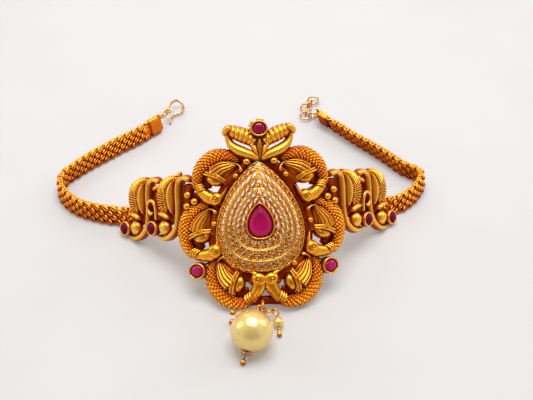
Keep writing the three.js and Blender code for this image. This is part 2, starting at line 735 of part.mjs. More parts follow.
// The chains stand on edge on the table. Each plan is the line under the chain's middle.
const CHAIN_ROWS = 2; // ridges on each face
const CHAIN_STEPS = 22;
const CHAIN_REST = 0.35; // how high the chains' foot lines run over the table
const ROW_GROOVE = 0.72; // depth of a groove between ridges, as a share of the chain's thickness
const LEFT_CHAIN = {
  side: -1,
  eyeHigh: 1.6,
  plan: [[-44.2, 22.0], [-48.2, 22.9], [-52.9, 24.7], [-57.9, 27.2], [-61.2, 30.0], [-63.7, 33.4],
    [-65.2, 37.0], [-65.4, 40.6], [-64.0, 43.9], [-61.1, 46.9], [-56.4, 51.4], [-51.4, 55.5], [-46.4, 59.7],
    [-41.3, 63.5], [-37.6, 66.9], [-35.6, 68.7]],
  lean: [-41, -24, -12, -10, -6, 0, 8, 16, 18, 18, 18],
};
const RIGHT_CHAIN = {
  side: 1,
  eyeHigh: -1.6,
  plan: [[44.2, 21.8], [47.6, 23.2], [50.2, 25.4], [52.9, 28.5], [55.5, 33.2], [56.0, 36.2], [54.3, 38.6],
    [50.6, 41.8], [46.4, 47.9], [42.0, 53.8], [37.4, 59.2], [32.8, 65.4], [30.2, 68.6], [28.6, 70.5]],
  lean: [-41, -22, -12, -8, -6, -8, -12, -16, -19, -21, -23],
};

// Flat on both faces but for the rows of links, which stand out as ridges.
function chainSection() {
  const points = [];
  const rows = 2 * CHAIN_ROWS;
  for (let i = 0; i <= rows; i += 1) {
    const y = lerp(-1, 1, i / rows) * (CHAIN_HEIGHT / 2);
    const deep = i % 2 ? 1 : ROW_GROOVE;
    points.push([(CHAIN_THICK / 2) * deep, y]);
  }
  const back = points.map(([x, y]) => [-x, y]).reverse();
  return [...points, ...back];
}

// The foot line of a chain: off the wing's end, then down to the table.
function footLine({ plan, side }) {
  const offWing = [onWing(50.8, -0.6, 0.1, side), onWing(52.2, -0.8, 0.1, side)];
  return [...offWing, ...plan.map(([x, y]) => [x, y, CHAIN_REST])];
}

// Which way is up for the chain, from its lean outwards in degrees at t from 0 to 1.
function chainUp({ side, lean }, d, t) {
  const out = new THREE.Vector3(d.y, -d.x, 0).normalize().multiplyScalar(side);
  const a = rad(along(lean, t));
  return new THREE.Vector3(0, 0, Math.cos(a)).addScaledVector(out, Math.sin(a));
}

function chainStations(chain, count) {
  const foot = spaceCurve(footLine(chain));
  const stations = [];
  for (let i = 0; i <= count; i += 1) {
    const t = i / count;
    const way = foot.getTangentAt(t);
    const up = chainUp(chain, way, t);
    const middle = foot.getPointAt(t).addScaledVector(up, CHAIN_HEIGHT / 2);
    const left = new THREE.Vector3().crossVectors(up, way).normalize();
    stations.push({ middle, way, up, left });
  }
  return stations;
}

function chainBand(chain) {
  const section = chainSection();
  return skin(chainStations(chain, CHAIN_STEPS).map(({ middle, up, left }) => section.map(([a, b]) => {
    const q = middle.clone().addScaledVector(left, a).addScaledVector(up, b);
    return [q.x, q.y, q.z];
  })));
}

// Folded cap at a chain's end: a sleeve over the links, a back plate and an eye. Measured from the chain's
// end: forward along it, across it and up it.
const CAP_SLEEVE = { from: GAP, to: 3.6, across: [-1.2, 1.2], low: -2.8, high: 3.3 };
const CAP_PLATE = { from: 3.2, to: 5.4, across: [0.45, 1.15], low: -2.7, high: 3.2 };
const CAP_EYE = { forward: 6.2, across: 0.8 };

function endCap(chain) {
  const { middle, way, up, left } = chainStations(chain, CHAIN_STEPS)[CHAIN_STEPS];
  const inward = -chain.side;
  const at = (forward, across, high) => middle.clone().addScaledVector(way, forward)
    .addScaledVector(left, across * inward).addScaledVector(up, high).toArray();
  const block = ({ from, to, across: [near, far], low, high }) => solid(skin([from, to].map((d) => (
    [at(d, far, low), at(d, far, high), at(d, near, high), at(d, near, low)]))));
  const eye = at(CAP_EYE.forward, CAP_EYE.across, chain.eyeHigh);
  const ring = ringAt(eye, up.toArray(), EYE_OUTER, EYE_WIRE, 10);
  return { solid: joined([block(CAP_SLEEVE), block(CAP_PLATE), solid(ring)]), eye };
}

// ---------------------------------------------------------------- hook and extender

// A closed loop of wire, straight-sided, from one end to the other, lying flat across a facing direction.
function oval(from, to, facing, half, thick) {
  const a = new THREE.Vector3(...from);
  const b = new THREE.Vector3(...to);
  const long = b.clone().sub(a).multiplyScalar(0.5);
  const middle = a.clone().add(long);
  const wide = new THREE.Vector3(...facing).cross(long).normalize().multiplyScalar(half);
  const corners = 8;
  const squarer = (x) => Math.sign(x) * Math.abs(x) ** 0.8;
  const points = [];
  for (let i = 0; i < corners; i += 1) {
    const u = ((i + 0.5) / corners) * 2 * Math.PI;
    const q = middle.clone().addScaledVector(long, squarer(Math.cos(u)));
    points.push(q.addScaledVector(wide, squarer(Math.sin(u))).toArray());
  }
  return wire(points, thick, 10, facing, true);
}

const HOOK = [[-30.3, 79.0, 4.1], [-29.8, 82.1, 3.9], [-28.8, 84.9, 3.4], [-27.6, 86.6, 2.9],
  [-26.4, 86.6, 2.4], [-25.3, 85.3, 2.0], [-24.9, 83.4, 1.7], [-25.6, 81.4, 1.4], [-26.7, 80.4, 1.2],
  [-28.2, 80.0, 1.0], [-29.2, 78.9, 0.9], [-29.6, 77.0, 0.8], [-29.7, 74.8, 0.8]];
const HOOK_EYE = [-30.4, 78.3, 4.1];
const HOOK_EYE_TILT = [0.2, 0.1, 1];
const RINGS = [[20.5, 75.9, 1.4], [21.1, 81.2, 1.4], [24.2, 85.6, 1.4]];
const RING_TILT = [0, -0.12, 1];
const LINK_WIRE = 0.25;

function hookBody() {
  const bend = wire(HOOK, HOOK_WIRE, 16);
  const eye = ringAt(HOOK_EYE, HOOK_EYE_TILT, EYE_OUTER, EYE_WIRE, 10);
  return joined([solid(bend), solid(eye)]);
}

// A point inside a ring's hole, towards another place.
function inRing(ring, towards, reach = 1.05) {
  const x = towards[0] - ring[0];
  const y = towards[1] - ring[1];
  const share = reach / Math.hypot(x, y);
  return [ring[0] + x * share, ring[1] + y * share, ring[2]];
}

// An upright link from one place to another.
function uprightLink(from, to, half = 1.05) {
  const across = [-(to[1] - from[1]), to[0] - from[0], 0];
  return oval(from, to, across, half, LINK_WIRE);
}

// ---------------------------------------------------------------- the drops

const DROP_WIRE = 0.2;
const DROP_LOOP = 0.92; // half width of a drop's loop
const LOOP_OVERLAP = 0.76; // how far a loop reaches past the wire of its jump ring
const BIG_PIN_WIRE = 0.22;
const BIG_LOOP_WIRE = 0.25;
const BIG_BALL = { at: -8.9, radius: 0.85 }; // along the large pin, from the pearl's middle
const DISC = { at: -6.6, radius: 1.9, thick: 0.4 };
const STOPPER = { at: -7.35, radius: 1.15, half: 0.5, hole: 0.5 };
const SMALL_BALL = 0.75;
const SMALL_COLLAR = { at: -2.25, radius: 0.48 };
const JUMP = { outer: 1.7, wire: 0.24 }; // the two jump rings
const JUMP_1 = [-1.5, -25.95, 3.6]; // faces out from the plaque
const JUMP_2 = [0.65, -26.25, 3.6]; // hangs edge-on from the first
const BIG = {
  at: [-4.7, -29.65, 6.05],
  way: [0.32, 0.75, 0.58],
  bend: [[-2.3, -23.6, 9.8], [-2.1, -22.6, 7.6], [-1.95, -21.8, 5.15]],
  loop: [-2.0, -22.0, 5.4],
  angle: 284,
};
const SMALL = [
  { ball: [3.24, -27.0, 0.9], pearl: [3.2, -23.2, 1.65], ring: 2, angle: 0 },
  { ball: [-9.9, -21.6, 4.9], pearl: [-7.5, -22.5, 4.3], ring: 1, angle: 232 },
  { ball: [-10.2, -21.5, 0.95], pearl: [-6.6, -20.9, 1.65], ring: 1, angle: 188 },
];

// A jump ring stands in the plaque's own directions: s and v for the first, s and w for the second.
function onJump(ring, angle) {
  const reach = JUMP.outer - JUMP.wire;
  const c = Math.cos(rad(angle)) * reach;
  const k = Math.sin(rad(angle)) * reach;
  const [s, v, w] = ring === 1 ? JUMP_1 : JUMP_2;
  return ring === 1 ? [s + c, v + k, w] : [s + c, v, w + k];
}

function jumpRing(ring) {
  const torus = new THREE.TorusGeometry(JUMP.outer - JUMP.wire, JUMP.wire, 5, 14);
  if (ring === 2) torus.rotateX(Math.PI / 2);
  torus.translate(...(ring === 1 ? JUMP_1 : JUMP_2));
  return geometryOf(solid(torus), onArm);
}

// A loop of wire from round a jump ring to the top of a drop.
function dropLoop(ring, angle, top) {
  const here = new THREE.Vector3(...onArm(...onJump(ring, angle)));
  const near = new THREE.Vector3(...onArm(...onJump(ring, angle + 8)));
  const tangent = near.sub(here).normalize();
  const long = new THREE.Vector3(...top).sub(here).normalize();
  const start = here.clone().addScaledVector(long, -LOOP_OVERLAP);
  const facing = tangent.addScaledVector(long, -tangent.dot(long)).normalize();
  return oval(start.toArray(), top, facing.toArray(), DROP_LOOP, DROP_WIRE);
}

function stepped(from, way, reach) {
  return from.map((c, i) => c + way[i] * reach);
}

function wayBetween(from, to) {
  return new THREE.Vector3(...to).sub(new THREE.Vector3(...from)).normalize().toArray();
}

// A turned bead round an axis; each profile point is [radius, place along the axis].
function turned(profile, at, way, sides) {
  const z = new THREE.Vector3(...way).normalize();
  const x = new THREE.Vector3(0, 0, 1).cross(z).normalize();
  const y = z.clone().cross(x);
  const rings = [];
  for (let j = 0; j < sides; j += 1) {
    const a = (j / sides) * 2 * Math.PI;
    rings.push(profile.map(([r, h]) => new THREE.Vector3(...at).addScaledVector(z, h)
      .addScaledVector(x, r * Math.cos(a)).addScaledVector(y, r * Math.sin(a)).toArray()));
  }
  return geometryOf(solid(skin(rings, true)));
}

// A bead with a drilled hole: an arc from one mouth of the hole to the other.
function pearlProfile(radius, long, hole, arc) {
  const points = [];
  const first = Math.asin(hole / radius);
  for (let i = 0; i <= arc; i += 1) {
    const a = lerp(first, Math.PI - first, i / arc);
    points.push([radius * Math.sin(a), long * Math.cos(a)]);
  }
  return points;
}

function smallPin({ ball: end, pearl, ring, angle }) {
  const way = wayBetween(end, pearl);
  const top = stepped(pearl, way, 2.3);
  const stem = wire([end, stepped(pearl, way, 0.2), top], DROP_WIRE, 2);
  const loop = dropLoop(ring, angle, top);
  const head = ball(end, SMALL_BALL, 8, 5);
  const collar = ball(stepped(pearl, way, SMALL_COLLAR.at), SMALL_COLLAR.radius, 6, 4);
  return joined([stem, loop, head, collar].map((part) => solid(part)));
}

function bigPin() {
  const way = wayBetween([0, 0, 0], BIG.way);
  const top = stepped(BIG.at, way, BIG_PEARL + 1);
  const bend = [stepped(top, way, -0.4), stepped(top, way, 0.3), ...BIG.bend];
  const parts = [
    wire([stepped(BIG.at, way, BIG_BALL.at + 0.1), BIG.at, top], BIG_PIN_WIRE, 3),
    wire(bend, BIG_LOOP_WIRE, 7),
    dropLoop(1, BIG.angle, BIG.loop),
    ball(stepped(BIG.at, way, BIG_BALL.at), BIG_BALL.radius, 8, 6),
  ];
  return joined(parts.map((part) => solid(part)));
}

// ---------------------------------------------------------------- assembly

const material = {
  gold: { color: 0xc8861e, roughness: 0.38, metalness: 1 },
  chainGold: { color: 0xd4851c, roughness: 0.4, metalness: 1 },
  paleGold: { color: 0xe0b46e, roughness: 0.3, metalness: 1 },
  ruby: { color: 0xbe1464, roughness: 0.08, metalness: 0 },
  wineRuby: { color: 0x6e2346, roughness: 0.12, metalness: 0 },
  pearl: { color: 0xf0dc8c, roughness: 0.22, metalness: 0 },
  crystal: { color: 0xf4f1e6, roughness: 0.1, metalness: 0 },
};

const armlet = new THREE.Group();
armlet.name = 'armlet';

function place(name, geometry, look) {
  geometry.computeVertexNormals();
  const mesh = new THREE.Mesh(geometry, new THREE.MeshStandardMaterial(material[look]));
  mesh.name = name;
  armlet.add(mesh);
  return mesh;
}

place('peacock_frame', geometryOf(frameBody(), onArm), 'gold');
place('filigree_dome', geometryOf(filigreeDome(), onDome), 'gold');
place('pear_ruby', geometryOf(solid(pearStone()), onDome), 'ruby');
const crestGem = solid(roundStone(CREST_RUBY.at, SMALL_STONE, CREST_RUBY.seat));
place('crest_ruby', geometryOf(crestGem, onArm), 'ruby');

const wing = wingBody();
const onRightWing = (s, v, w) => onWing(s, v, w);
const sideGem = solid(roundStone(SIDE_RUBY.at, SMALL_STONE, SIDE_RUBY.seat));
for (const [name, side] of [['right', 1], ['left', -1]]) {
  const shape = onTable(solid(geometryOf(wing, onRightWing), side));
  place(`wing_${name}`, geometryOf(shape), 'gold');
  place(`side_ruby_${name}`, geometryOf(solid(geometryOf(sideGem, onArm), side)), 'ruby');
  for (const number of [0, 1]) {
    const gem = solid(roundStone(wingBezelAt(number), WING_BEZEL.stone, WING_BEZEL.seat));
    const placed = solid(geometryOf(gem, onRightWing), side);
    place(`wing_ruby_${name}_${number + 1}`, geometryOf(placed), 'wineRuby');
  }
}

place('chain_left', chainBand(LEFT_CHAIN), 'chainGold');
place('chain_right', chainBand(RIGHT_CHAIN), 'chainGold');
const leftCap = endCap(LEFT_CHAIN);
const rightCap = endCap(RIGHT_CHAIN);
place('end_cap_left', geometryOf(leftCap.solid), 'chainGold');
place('end_cap_right', geometryOf(rightCap.solid), 'chainGold');
place('hook', geometryOf(hookBody()), 'paleGold');
place('hook_link', uprightLink(leftCap.eye, HOOK_EYE), 'chainGold');
RINGS.forEach((at, i) => {
  place(`extender_ring_${i + 1}`, ringAt(at, RING_TILT, RING_OUTER, RING_WIRE, 12), 'paleGold');
});
place('extender_link_1', uprightLink(rightCap.eye, inRing(RINGS[0], rightCap.eye)), 'paleGold');
place('extender_link_2', uprightLink(inRing(RINGS[0], RINGS[1]), inRing(RINGS[1], RINGS[0])), 'chainGold');
place('extender_link_3', uprightLink(inRing(RINGS[1], RINGS[2]), inRing(RINGS[2], RINGS[1])), 'chainGold');

const bigWay = wayBetween([0, 0, 0], BIG.way);
const largePearl = pearlProfile(BIG_PEARL, BIG_PEARL, BIG_HOLE, 10);
const discProfile = [[BIG_HOLE, 0], [DISC.radius, 0], [DISC.radius, DISC.thick], [BIG_HOLE, DISC.thick]];
const stopperProfile = pearlProfile(STOPPER.radius, STOPPER.half, STOPPER.hole, 4);
const smallPearl = pearlProfile(SMALL_PEARL.radius, SMALL_PEARL.half, SMALL_HOLE, 6);
place('jump_ring_1', jumpRing(1), 'gold');
place('jump_ring_2', jumpRing(2), 'gold');
place('large_pearl', turned(largePearl, BIG.at, bigWay, 16), 'pearl');
place('large_pin', geometryOf(bigPin()), 'gold');
place('pearl_disc', turned(discProfile, stepped(BIG.at, bigWay, DISC.at), bigWay, 12), 'gold');
place('stopper_bead', turned(stopperProfile, stepped(BIG.at, bigWay, STOPPER.at), bigWay, 10), 'crystal');
SMALL.forEach((small, i) => {
  const way = wayBetween(small.ball, small.pearl);
  place(`small_pearl_${i + 1}`, turned(smallPearl, small.pearl, way, 10), 'pearl');
  place(`small_pin_${i + 1}`, geometryOf(smallPin(small)), 'gold');
});

// The middle of the whole armlet's footprint goes to the origin.
const extent = new THREE.Box3().setFromObject(armlet);
const footprint = extent.getCenter(new THREE.Vector3());
for (const piece of armlet.children) {
  piece.geometry.translate(-footprint.x, -footprint.y, -extent.min.z);
}

export default armlet;
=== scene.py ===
# %% [markdown]
# # An open armlet in antique gold
# The armlet is a curved plaque of cast peacocks round a pierced filigree dome with a pear ruby. Two paisley wings
# and two woven chains carry it round the arm, a hook and three rings close it, and pearls hang from its foot.
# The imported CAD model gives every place. The plaque is drawn flat, in three coordinates along, up and out from
# its back, and is then bent round the arm and leaned back, so each ornament is designed once and laid in place.

# %% Load the frame
import math
import bpy
import numpy as np
from mathutils import Matrix, Vector


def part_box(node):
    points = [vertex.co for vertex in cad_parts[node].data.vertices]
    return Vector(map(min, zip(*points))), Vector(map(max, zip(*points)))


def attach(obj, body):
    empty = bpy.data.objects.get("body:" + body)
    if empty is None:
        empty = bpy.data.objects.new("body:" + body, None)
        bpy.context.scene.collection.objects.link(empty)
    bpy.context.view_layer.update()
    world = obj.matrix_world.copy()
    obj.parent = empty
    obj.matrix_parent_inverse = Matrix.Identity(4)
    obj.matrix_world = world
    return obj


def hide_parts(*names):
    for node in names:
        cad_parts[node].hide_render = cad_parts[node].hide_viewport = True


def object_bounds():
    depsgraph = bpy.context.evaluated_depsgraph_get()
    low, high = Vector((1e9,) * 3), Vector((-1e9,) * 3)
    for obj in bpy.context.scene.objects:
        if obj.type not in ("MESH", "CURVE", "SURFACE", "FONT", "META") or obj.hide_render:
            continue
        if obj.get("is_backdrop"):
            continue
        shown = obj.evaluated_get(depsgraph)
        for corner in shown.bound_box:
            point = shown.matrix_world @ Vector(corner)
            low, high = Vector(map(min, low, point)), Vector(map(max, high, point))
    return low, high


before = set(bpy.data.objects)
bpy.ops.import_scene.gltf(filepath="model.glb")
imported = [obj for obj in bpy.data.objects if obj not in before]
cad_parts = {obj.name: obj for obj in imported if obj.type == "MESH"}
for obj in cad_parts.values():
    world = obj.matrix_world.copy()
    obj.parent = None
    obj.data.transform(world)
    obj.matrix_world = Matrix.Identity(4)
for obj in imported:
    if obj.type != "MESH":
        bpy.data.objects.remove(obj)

cad_box = [list(corner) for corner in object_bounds()]
print("CAD box in mm:", [[round(c * 1000, 1) for c in corner] for corner in cad_box])

# %% [markdown]
# ## The plaque's own coordinates
# A jeweller makes the plaque flat and bends it over a mandrel. Here it is the same: s runs along the plaque, v runs
# up it and w stands out from its back, all in millimetres. Bending by formula keeps every wire's thickness, where a
# lattice or a bend modifier would stretch it.

# %% Bend round the arm and lean back
ARM_RADIUS = 42.0
WING_FROM = 22.0
WING_TURN = math.radians(47)
LEAN = math.radians(48.8)
LIFT = 20.12
FOOTPRINT = np.array([-4.940, 25.356, -0.002])  # the middle of the footprint, which is the origin


def leaned(x, v, z):
    """Turns the upright plaque back about its middle and lifts it over the table."""
    c, k = math.cos(LEAN), math.sin(LEAN)
    return np.stack([x + 0 * v, v * c - z * k, v * k + z * c + LIFT], axis=-1) - FOOTPRINT


def on_arm(p):
    """(s, v, w): the angle is s over the arm's radius, and w adds to the radius."""
    s, v, w = p[..., 0], p[..., 1], p[..., 2]
    turn, out = s / ARM_RADIUS, ARM_RADIUS + w
    return leaned(out * np.sin(turn), v, out * np.cos(turn) - ARM_RADIUS)


def on_wing(p, side=1):
    """(s, v, w) on the flat that leaves the circle at WING_FROM, mirrored in x for the left wing."""
    s, v, w = p[..., 0], p[..., 1], p[..., 2]
    start, d = WING_FROM / ARM_RADIUS, s - WING_FROM
    c, k = math.cos(WING_TURN), math.sin(WING_TURN)
    x = ARM_RADIUS * math.sin(start) + d * c + w * k
    z = ARM_RADIUS * (math.cos(start) - 1) - d * k + w * c
    return leaned(side * x, v, z)


def lying(p):
    """Points already in the CAD source's own millimetres."""
    return p - FOOTPRINT


ruby_low, ruby_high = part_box("pear_ruby")
ruby_middle = (np.array(ruby_low) + np.array(ruby_high)) * 500
print("pear ruby: middle", ruby_middle.round(2), "formula", on_arm(np.array([0.0, 0.0, 4.8])).round(2))

# %% [markdown]
# ## Surfaces from grids
# Every piece is a grid of points: rings of a section, one after another along a path. A builder collects grids,
# bends them, and closes their ends. The sign of the enclosed volume says which way the faces point, so mirrored
# copies are turned the right way without any search for normals.

# %% Paths and profiles


def catmull(points, fine=24, closed=False):
    """A smooth curve through points: a cubic for each span, with knots spaced by the root of the distance."""
    p = np.asarray(points, float)
    if closed:
        p = np.vstack([p[-1:], p, p[:2]])
    else:
        p = np.vstack([2 * p[0] - p[1], p, 2 * p[-1] - p[-2]])
    p0, p1, p2, p3 = p[:-3], p[1:-2], p[2:-1], p[3:]
    gap = [np.maximum(np.linalg.norm(b - a, axis=1, keepdims=True), 1e-9) ** 0.5
           for a, b in ((p0, p1), (p1, p2), (p2, p3))]
    m1 = ((p1 - p0) / gap[0] - (p2 - p0) / (gap[0] + gap[1]) + (p2 - p1) / gap[1]) * gap[1]
    m2 = ((p2 - p1) / gap[1] - (p3 - p1) / (gap[1] + gap[2]) + (p3 - p2) / gap[2]) * gap[1]
    t = np.linspace(0, 1, fine, endpoint=False)[None, :, None]
    a, b, c, d = (q[:, None, :] for q in (p1, m1, -3 * p1 + 3 * p2 - 2 * m1 - m2, 2 * p1 - 2 * p2 + m1 + m2))
    curve = (a + b * t + c * t**2 + d * t**3).reshape(-1, p.shape[1])
    return np.vstack([curve, p2[-1:]])


def path(points, count, closed=False, smooth=True):
    """Count points at even lengths along a curve, their directions, and their share of the length from 0 to 1."""
    points = np.asarray(points, float)
    dense = catmull(points, closed=closed) if smooth else np.vstack([points, points[:1]]) if closed else points
    run = np.concatenate([[0], np.cumsum(np.linalg.norm(np.diff(dense, axis=0), axis=1))])
    t = np.linspace(0, 1, count, endpoint=not closed)
    at = np.stack([np.interp(t * run[-1], run, dense[:, k]) for k in range(dense.shape[1])], axis=1)
    step = 0.002
    ahead, behind = t + step, t - step
    ahead, behind = (ahead % 1, behind % 1) if closed else (np.clip(ahead, 0, 1), np.clip(behind, 0, 1))
    way = np.stack([np.interp(ahead * run[-1], run, dense[:, k]) - np.interp(behind * run[-1], run, dense[:, k])
                    for k in range(dense.shape[1])], axis=1)
    return at, way / np.linalg.norm(way, axis=1, keepdims=True), t


def eased(values, t):
    """A smooth curve through evenly spaced values, read at t from 0 to 1."""
    values = np.atleast_1d(np.asarray(values, float))
    if len(values) < 3:
        return np.interp(t, np.linspace(0, 1, len(values)), values) if len(values) > 1 else values[0] + 0 * t
    v = np.concatenate([[2 * values[0] - values[1]], values, [2 * values[-1] - values[-2]]])
    x = np.clip(t, 0, 1) * (len(values) - 1)
    i = np.minimum(x.astype(int), len(values) - 2)
    f = x - i
    a, b, c, d = v[i], v[i + 1], v[i + 2], v[i + 3]
    return b + 0.5 * f * (c - a + f * (2 * a - 5 * b + 4 * c - d + f * (3 * (b - c) + d - a)))


def rounded(t, reach):
    """1 along a band, falling to 0 at both ends as a quarter circle over reach."""
    near = np.minimum(t, 1 - t) / reach
    return np.sqrt(np.clip(1 - (1 - np.clip(near, 0, 1)) ** 2, 0.0004, 1))


# %% The builder


SHADE_PAINTED_BELOW, FULL_LIGHT_FROM = 0.9, 2.3  # mm: below the first height the finish takes a hollow's dark tone, painted shade on low ground; full light from the second


class Skin:
    """Collects grids of points in millimetres and makes them one mesh."""

    def __init__(self, lay=on_arm):
        self.lay = lay
        self.points, self.away, self.quads, self.tris, self.count = [], [], [], [], 0

    def grid(self, p, along=False):
        """A grid (rings, points of a ring, 3) of closed rings. along joins the last ring to the first; without it
        both ends are closed by a fan. Each point keeps the direction of w, which looks away from the back."""
        n, m = p.shape[:2]
        q = self.lay(p).reshape(-1, 3)
        out = self.lay(p + [0, 0, 0.1]).reshape(-1, 3) - q
        out /= np.linalg.norm(out, axis=1, keepdims=True)
        # Points low on the plaque, or low over the table, get a shorter direction, so the golds paint them darker:
        # painted shade.
        if self.lay is not lying:
            height = p[..., 2].reshape(-1, 1)
            out *= np.clip((height - SHADE_PAINTED_BELOW) / (FULL_LIGHT_FROM - SHADE_PAINTED_BELOW), 0.0, 1)
        i, j = np.meshgrid(np.arange(n if along else n - 1), np.arange(m), indexing="ij")
        i2, j2 = (i + 1) % n, (j + 1) % m
        quads = np.stack([i * m + j, i * m + j2, i2 * m + j2, i2 * m + j], axis=-1).reshape(-1, 4)
        tris = np.zeros((0, 3), int)
        if not along:
            q = np.vstack([q, q[:m].mean(0), q[-m:].mean(0)])
            out = np.vstack([out, out[0], out[-1]])
            a, b = np.arange(m), (np.arange(m) + 1) % m
            first = np.stack([a * 0 + n * m, b, a], axis=-1)
            last = np.stack([a * 0 + n * m + 1, a + (n - 1) * m, b + (n - 1) * m], axis=-1)
            tris = np.vstack([first, last])
        fan = np.vstack([quads[:, [0, 1, 2]], quads[:, [0, 2, 3]], tris])
        c = q - q.mean(0)
        if np.einsum("ij,ij->", np.cross(c[fan[:, 0]], c[fan[:, 1]]), c[fan[:, 2]]) < 0:
            quads, tris = quads[:, ::-1], tris[:, ::-1]
        self.points.append(q)
        self.away.append(out)
        self.quads.append(quads + self.count)
        self.tris.append(tris + self.count)
        self.count += len(q)
        return self

    def both(self, p, **how):
        """The grid and its mirror image across the plaque's middle."""
        self.grid(p, **how)
        return self.grid(p * [-1, 1, 1], **how)

    def make(self, name, finish, slot, *nodes, smooth=True):
        """One mesh of all grids. Its value "raised" is how far each point's normal looks away from the back; the
        golds paint light and shade by it.
        """
        points = np.vstack(self.points) / 1000
        quads, tris = np.vstack(self.quads), np.vstack(self.tris)
        mesh = bpy.data.meshes.new(name)
        mesh.vertices.add(len(points))
        mesh.vertices.foreach_set("co", points.ravel())
        corners = np.concatenate([quads.ravel(), tris.ravel()])
        sizes = np.concatenate([np.full(len(quads), 4), np.full(len(tris), 3)])
        mesh.loops.add(len(corners))
        mesh.loops.foreach_set("vertex_index", corners)
        mesh.polygons.add(len(sizes))
        mesh.polygons.foreach_set("loop_start", np.concatenate([[0], np.cumsum(sizes)[:-1]]))
        mesh.update(calc_edges=True)
        mesh.polygons.foreach_set("use_smooth", np.full(len(sizes), smooth))
        normals = np.empty(points.size)
        mesh.vertex_normals.foreach_get("vector", normals)
        away = np.vstack(self.away)
        raised = mesh.attributes.new("raised", "FLOAT", "POINT")
        raised.data.foreach_set("value", np.einsum("ij,ij->i", normals.reshape(-1, 3), away))
        piece = bpy.data.objects.new(name, mesh)
        bpy.context.scene.collection.objects.link(piece)
        piece.data.materials.append(finish)
        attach(piece, "root")
        if nodes:
            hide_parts(*nodes)
        print(f"{name}: {2 * len(quads) + len(tris)} triangles")
        return piece


# %% Sections and sweeps


def arch(count, power=0.6):
    """Half an ellipse over a flat underside: across = cos, height = sin to a power."""
    a = np.linspace(0, np.pi, count)
    return np.stack([np.cos(a), np.sin(a) ** power], axis=1)


def relief(points, half, rise, count=40, section=None, base=0.0, ends=0.08):
    """A raised band in the plaque's coordinates: a section carried along a flat path, with rounded ends."""
    at, way, t = path(points, count)
    section = arch(13) if section is None else section
    shape = section if section.ndim == 3 else section[None]
    fade = rounded(t, ends)[:, None] if ends else 1.0
    wide, high = eased(half, t)[:, None] * fade, eased(rise, t)[:, None] * fade
    a, h = shape[..., 0] * wide, shape[..., 1] * high
    return np.stack([at[:, 0:1] - way[:, 1:2] * a, at[:, 1:2] + way[:, 0:1] * a, base + h + 0 * a], axis=-1)


def round_path(at, way, a, r, up=(0, 0, 1)):
    """Points at the angles a round each place of a path, r away from it, with one axis kept towards up."""
    side = np.cross(np.asarray(up, float), way)
    side /= np.linalg.norm(side, axis=1, keepdims=True)
    top = np.cross(way, side)
    across = np.cos(a)[None, :, None] * side[:, None] + np.sin(a)[None, :, None] * top[:, None]
    return at[:, None] + r * across


def tube(points, radius, count, sides=10, closed=False, up=(0, 0, 1), ends=None):
    """Round wire along a space curve."""
    at, way, t = path(points, count, closed)
    r = eased(radius, t)
    if ends:
        r = r * rounded(t, ends)
    a = (np.arange(sides) + 0.5) / sides * 2 * np.pi
    return round_path(at, way, a, r[:, None, None], up)


def closed_rope(points, radius, count, pitch, strands=2, sides=8):
    """Twisted wires round a closed line: a rosette of strands, turned in step with the length."""
    at, way, t = path(points, count, closed=True, smooth=False)
    length = np.linalg.norm(np.diff(at, axis=0), axis=1).sum() + np.linalg.norm(at[0] - at[-1])
    turns = max(1, round(length / pitch)) / strands
    a = np.arange(sides) / sides * 2 * np.pi
    phase = a[None, :] - t[:, None] * turns * 2 * np.pi
    r = radius * (0.66 + 0.34 * np.abs(np.cos(phase * strands / 2)))
    return round_path(at, way, a, r[..., None])


def globe(radius, around=12, down=7, square=1.0):
    """A sphere as rings from pole to pole along z, stopping just short of both; the builder closes them. A square
    under 1 flattens the top and steepens the sides."""
    short = 0.12
    a = np.arange(around) / around * 2 * np.pi
    b = np.linspace(short, np.pi - short, down)
    r, h = np.sin(b) ** square, -np.sign(np.cos(b)) * np.abs(np.cos(b)) ** square
    x = r[:, None] * np.cos(a)
    return radius * np.stack([x, r[:, None] * np.sin(a), h[:, None] + 0 * x], axis=-1)


def above(p, floor=0.12):
    """Lifts points that lie below a floor on to it: the plaque's back, or the table."""
    return np.concatenate([p[..., :2], np.maximum(p[..., 2:], floor)], axis=-1)


def torus(radius, wire, around=24, sides=10):
    """A ring of round wire in the x-y plane."""
    a = np.arange(around) / around * 2 * np.pi
    b = np.arange(sides) / sides * 2 * np.pi
    r = radius + wire * np.cos(b)[None]
    x = r * np.cos(a)[:, None]
    return np.stack([x, r * np.sin(a)[:, None], wire * np.sin(b)[None] + 0 * x], axis=-1)


def facing(normal):
    """Axes (rows x, y, z) whose z looks along normal."""
    z = np.asarray(normal, float) / np.linalg.norm(normal)
    x = np.cross([0, 0, 1], z)
    x = np.array([1.0, 0, 0]) if np.linalg.norm(x) < 1e-6 else x / np.linalg.norm(x)
    return np.stack([x, np.cross(z, x), z])


print("helpers ready")

# %% [markdown]
# ## Finishes
# The body is gilded and then darkened, so the hollows keep a red-brown patina, and the high places are rubbed back
# to bright gold. Light and shade are painted into the colour as well: the ambient occlusion node measures how
# closed in a point is, and closed-in places take dark tones, partly that patina and partly painted shade; faces
# that look away from the piece's back, up towards the top light, take bright tones as painted highlight; low ground
# takes painted shade. Noise on Object coordinates gives uneven colour and a fine cast grain that stays in place.

# %% Node helpers


def new_finish(name):
    material = bpy.data.materials.new(name)
    material.use_nodes = True
    nodes, links = material.node_tree.nodes, material.node_tree.links
    shader = nodes["Principled BSDF"]
    place = nodes.new("ShaderNodeTexCoord").outputs["Object"]
    return material, nodes, links, shader, place


def noise(nodes, links, place, size_mm, detail=3.0, rough=0.55):
    """Noise whose lumps are about size_mm across."""
    node = nodes.new("ShaderNodeTexNoise")
    node.inputs["Scale"].default_value = 1000.0 / size_mm
    node.inputs["Detail"].default_value = detail
    node.inputs["Roughness"].default_value = rough
    links.new(place, node.inputs["Vector"])
    return node.outputs["Fac"]


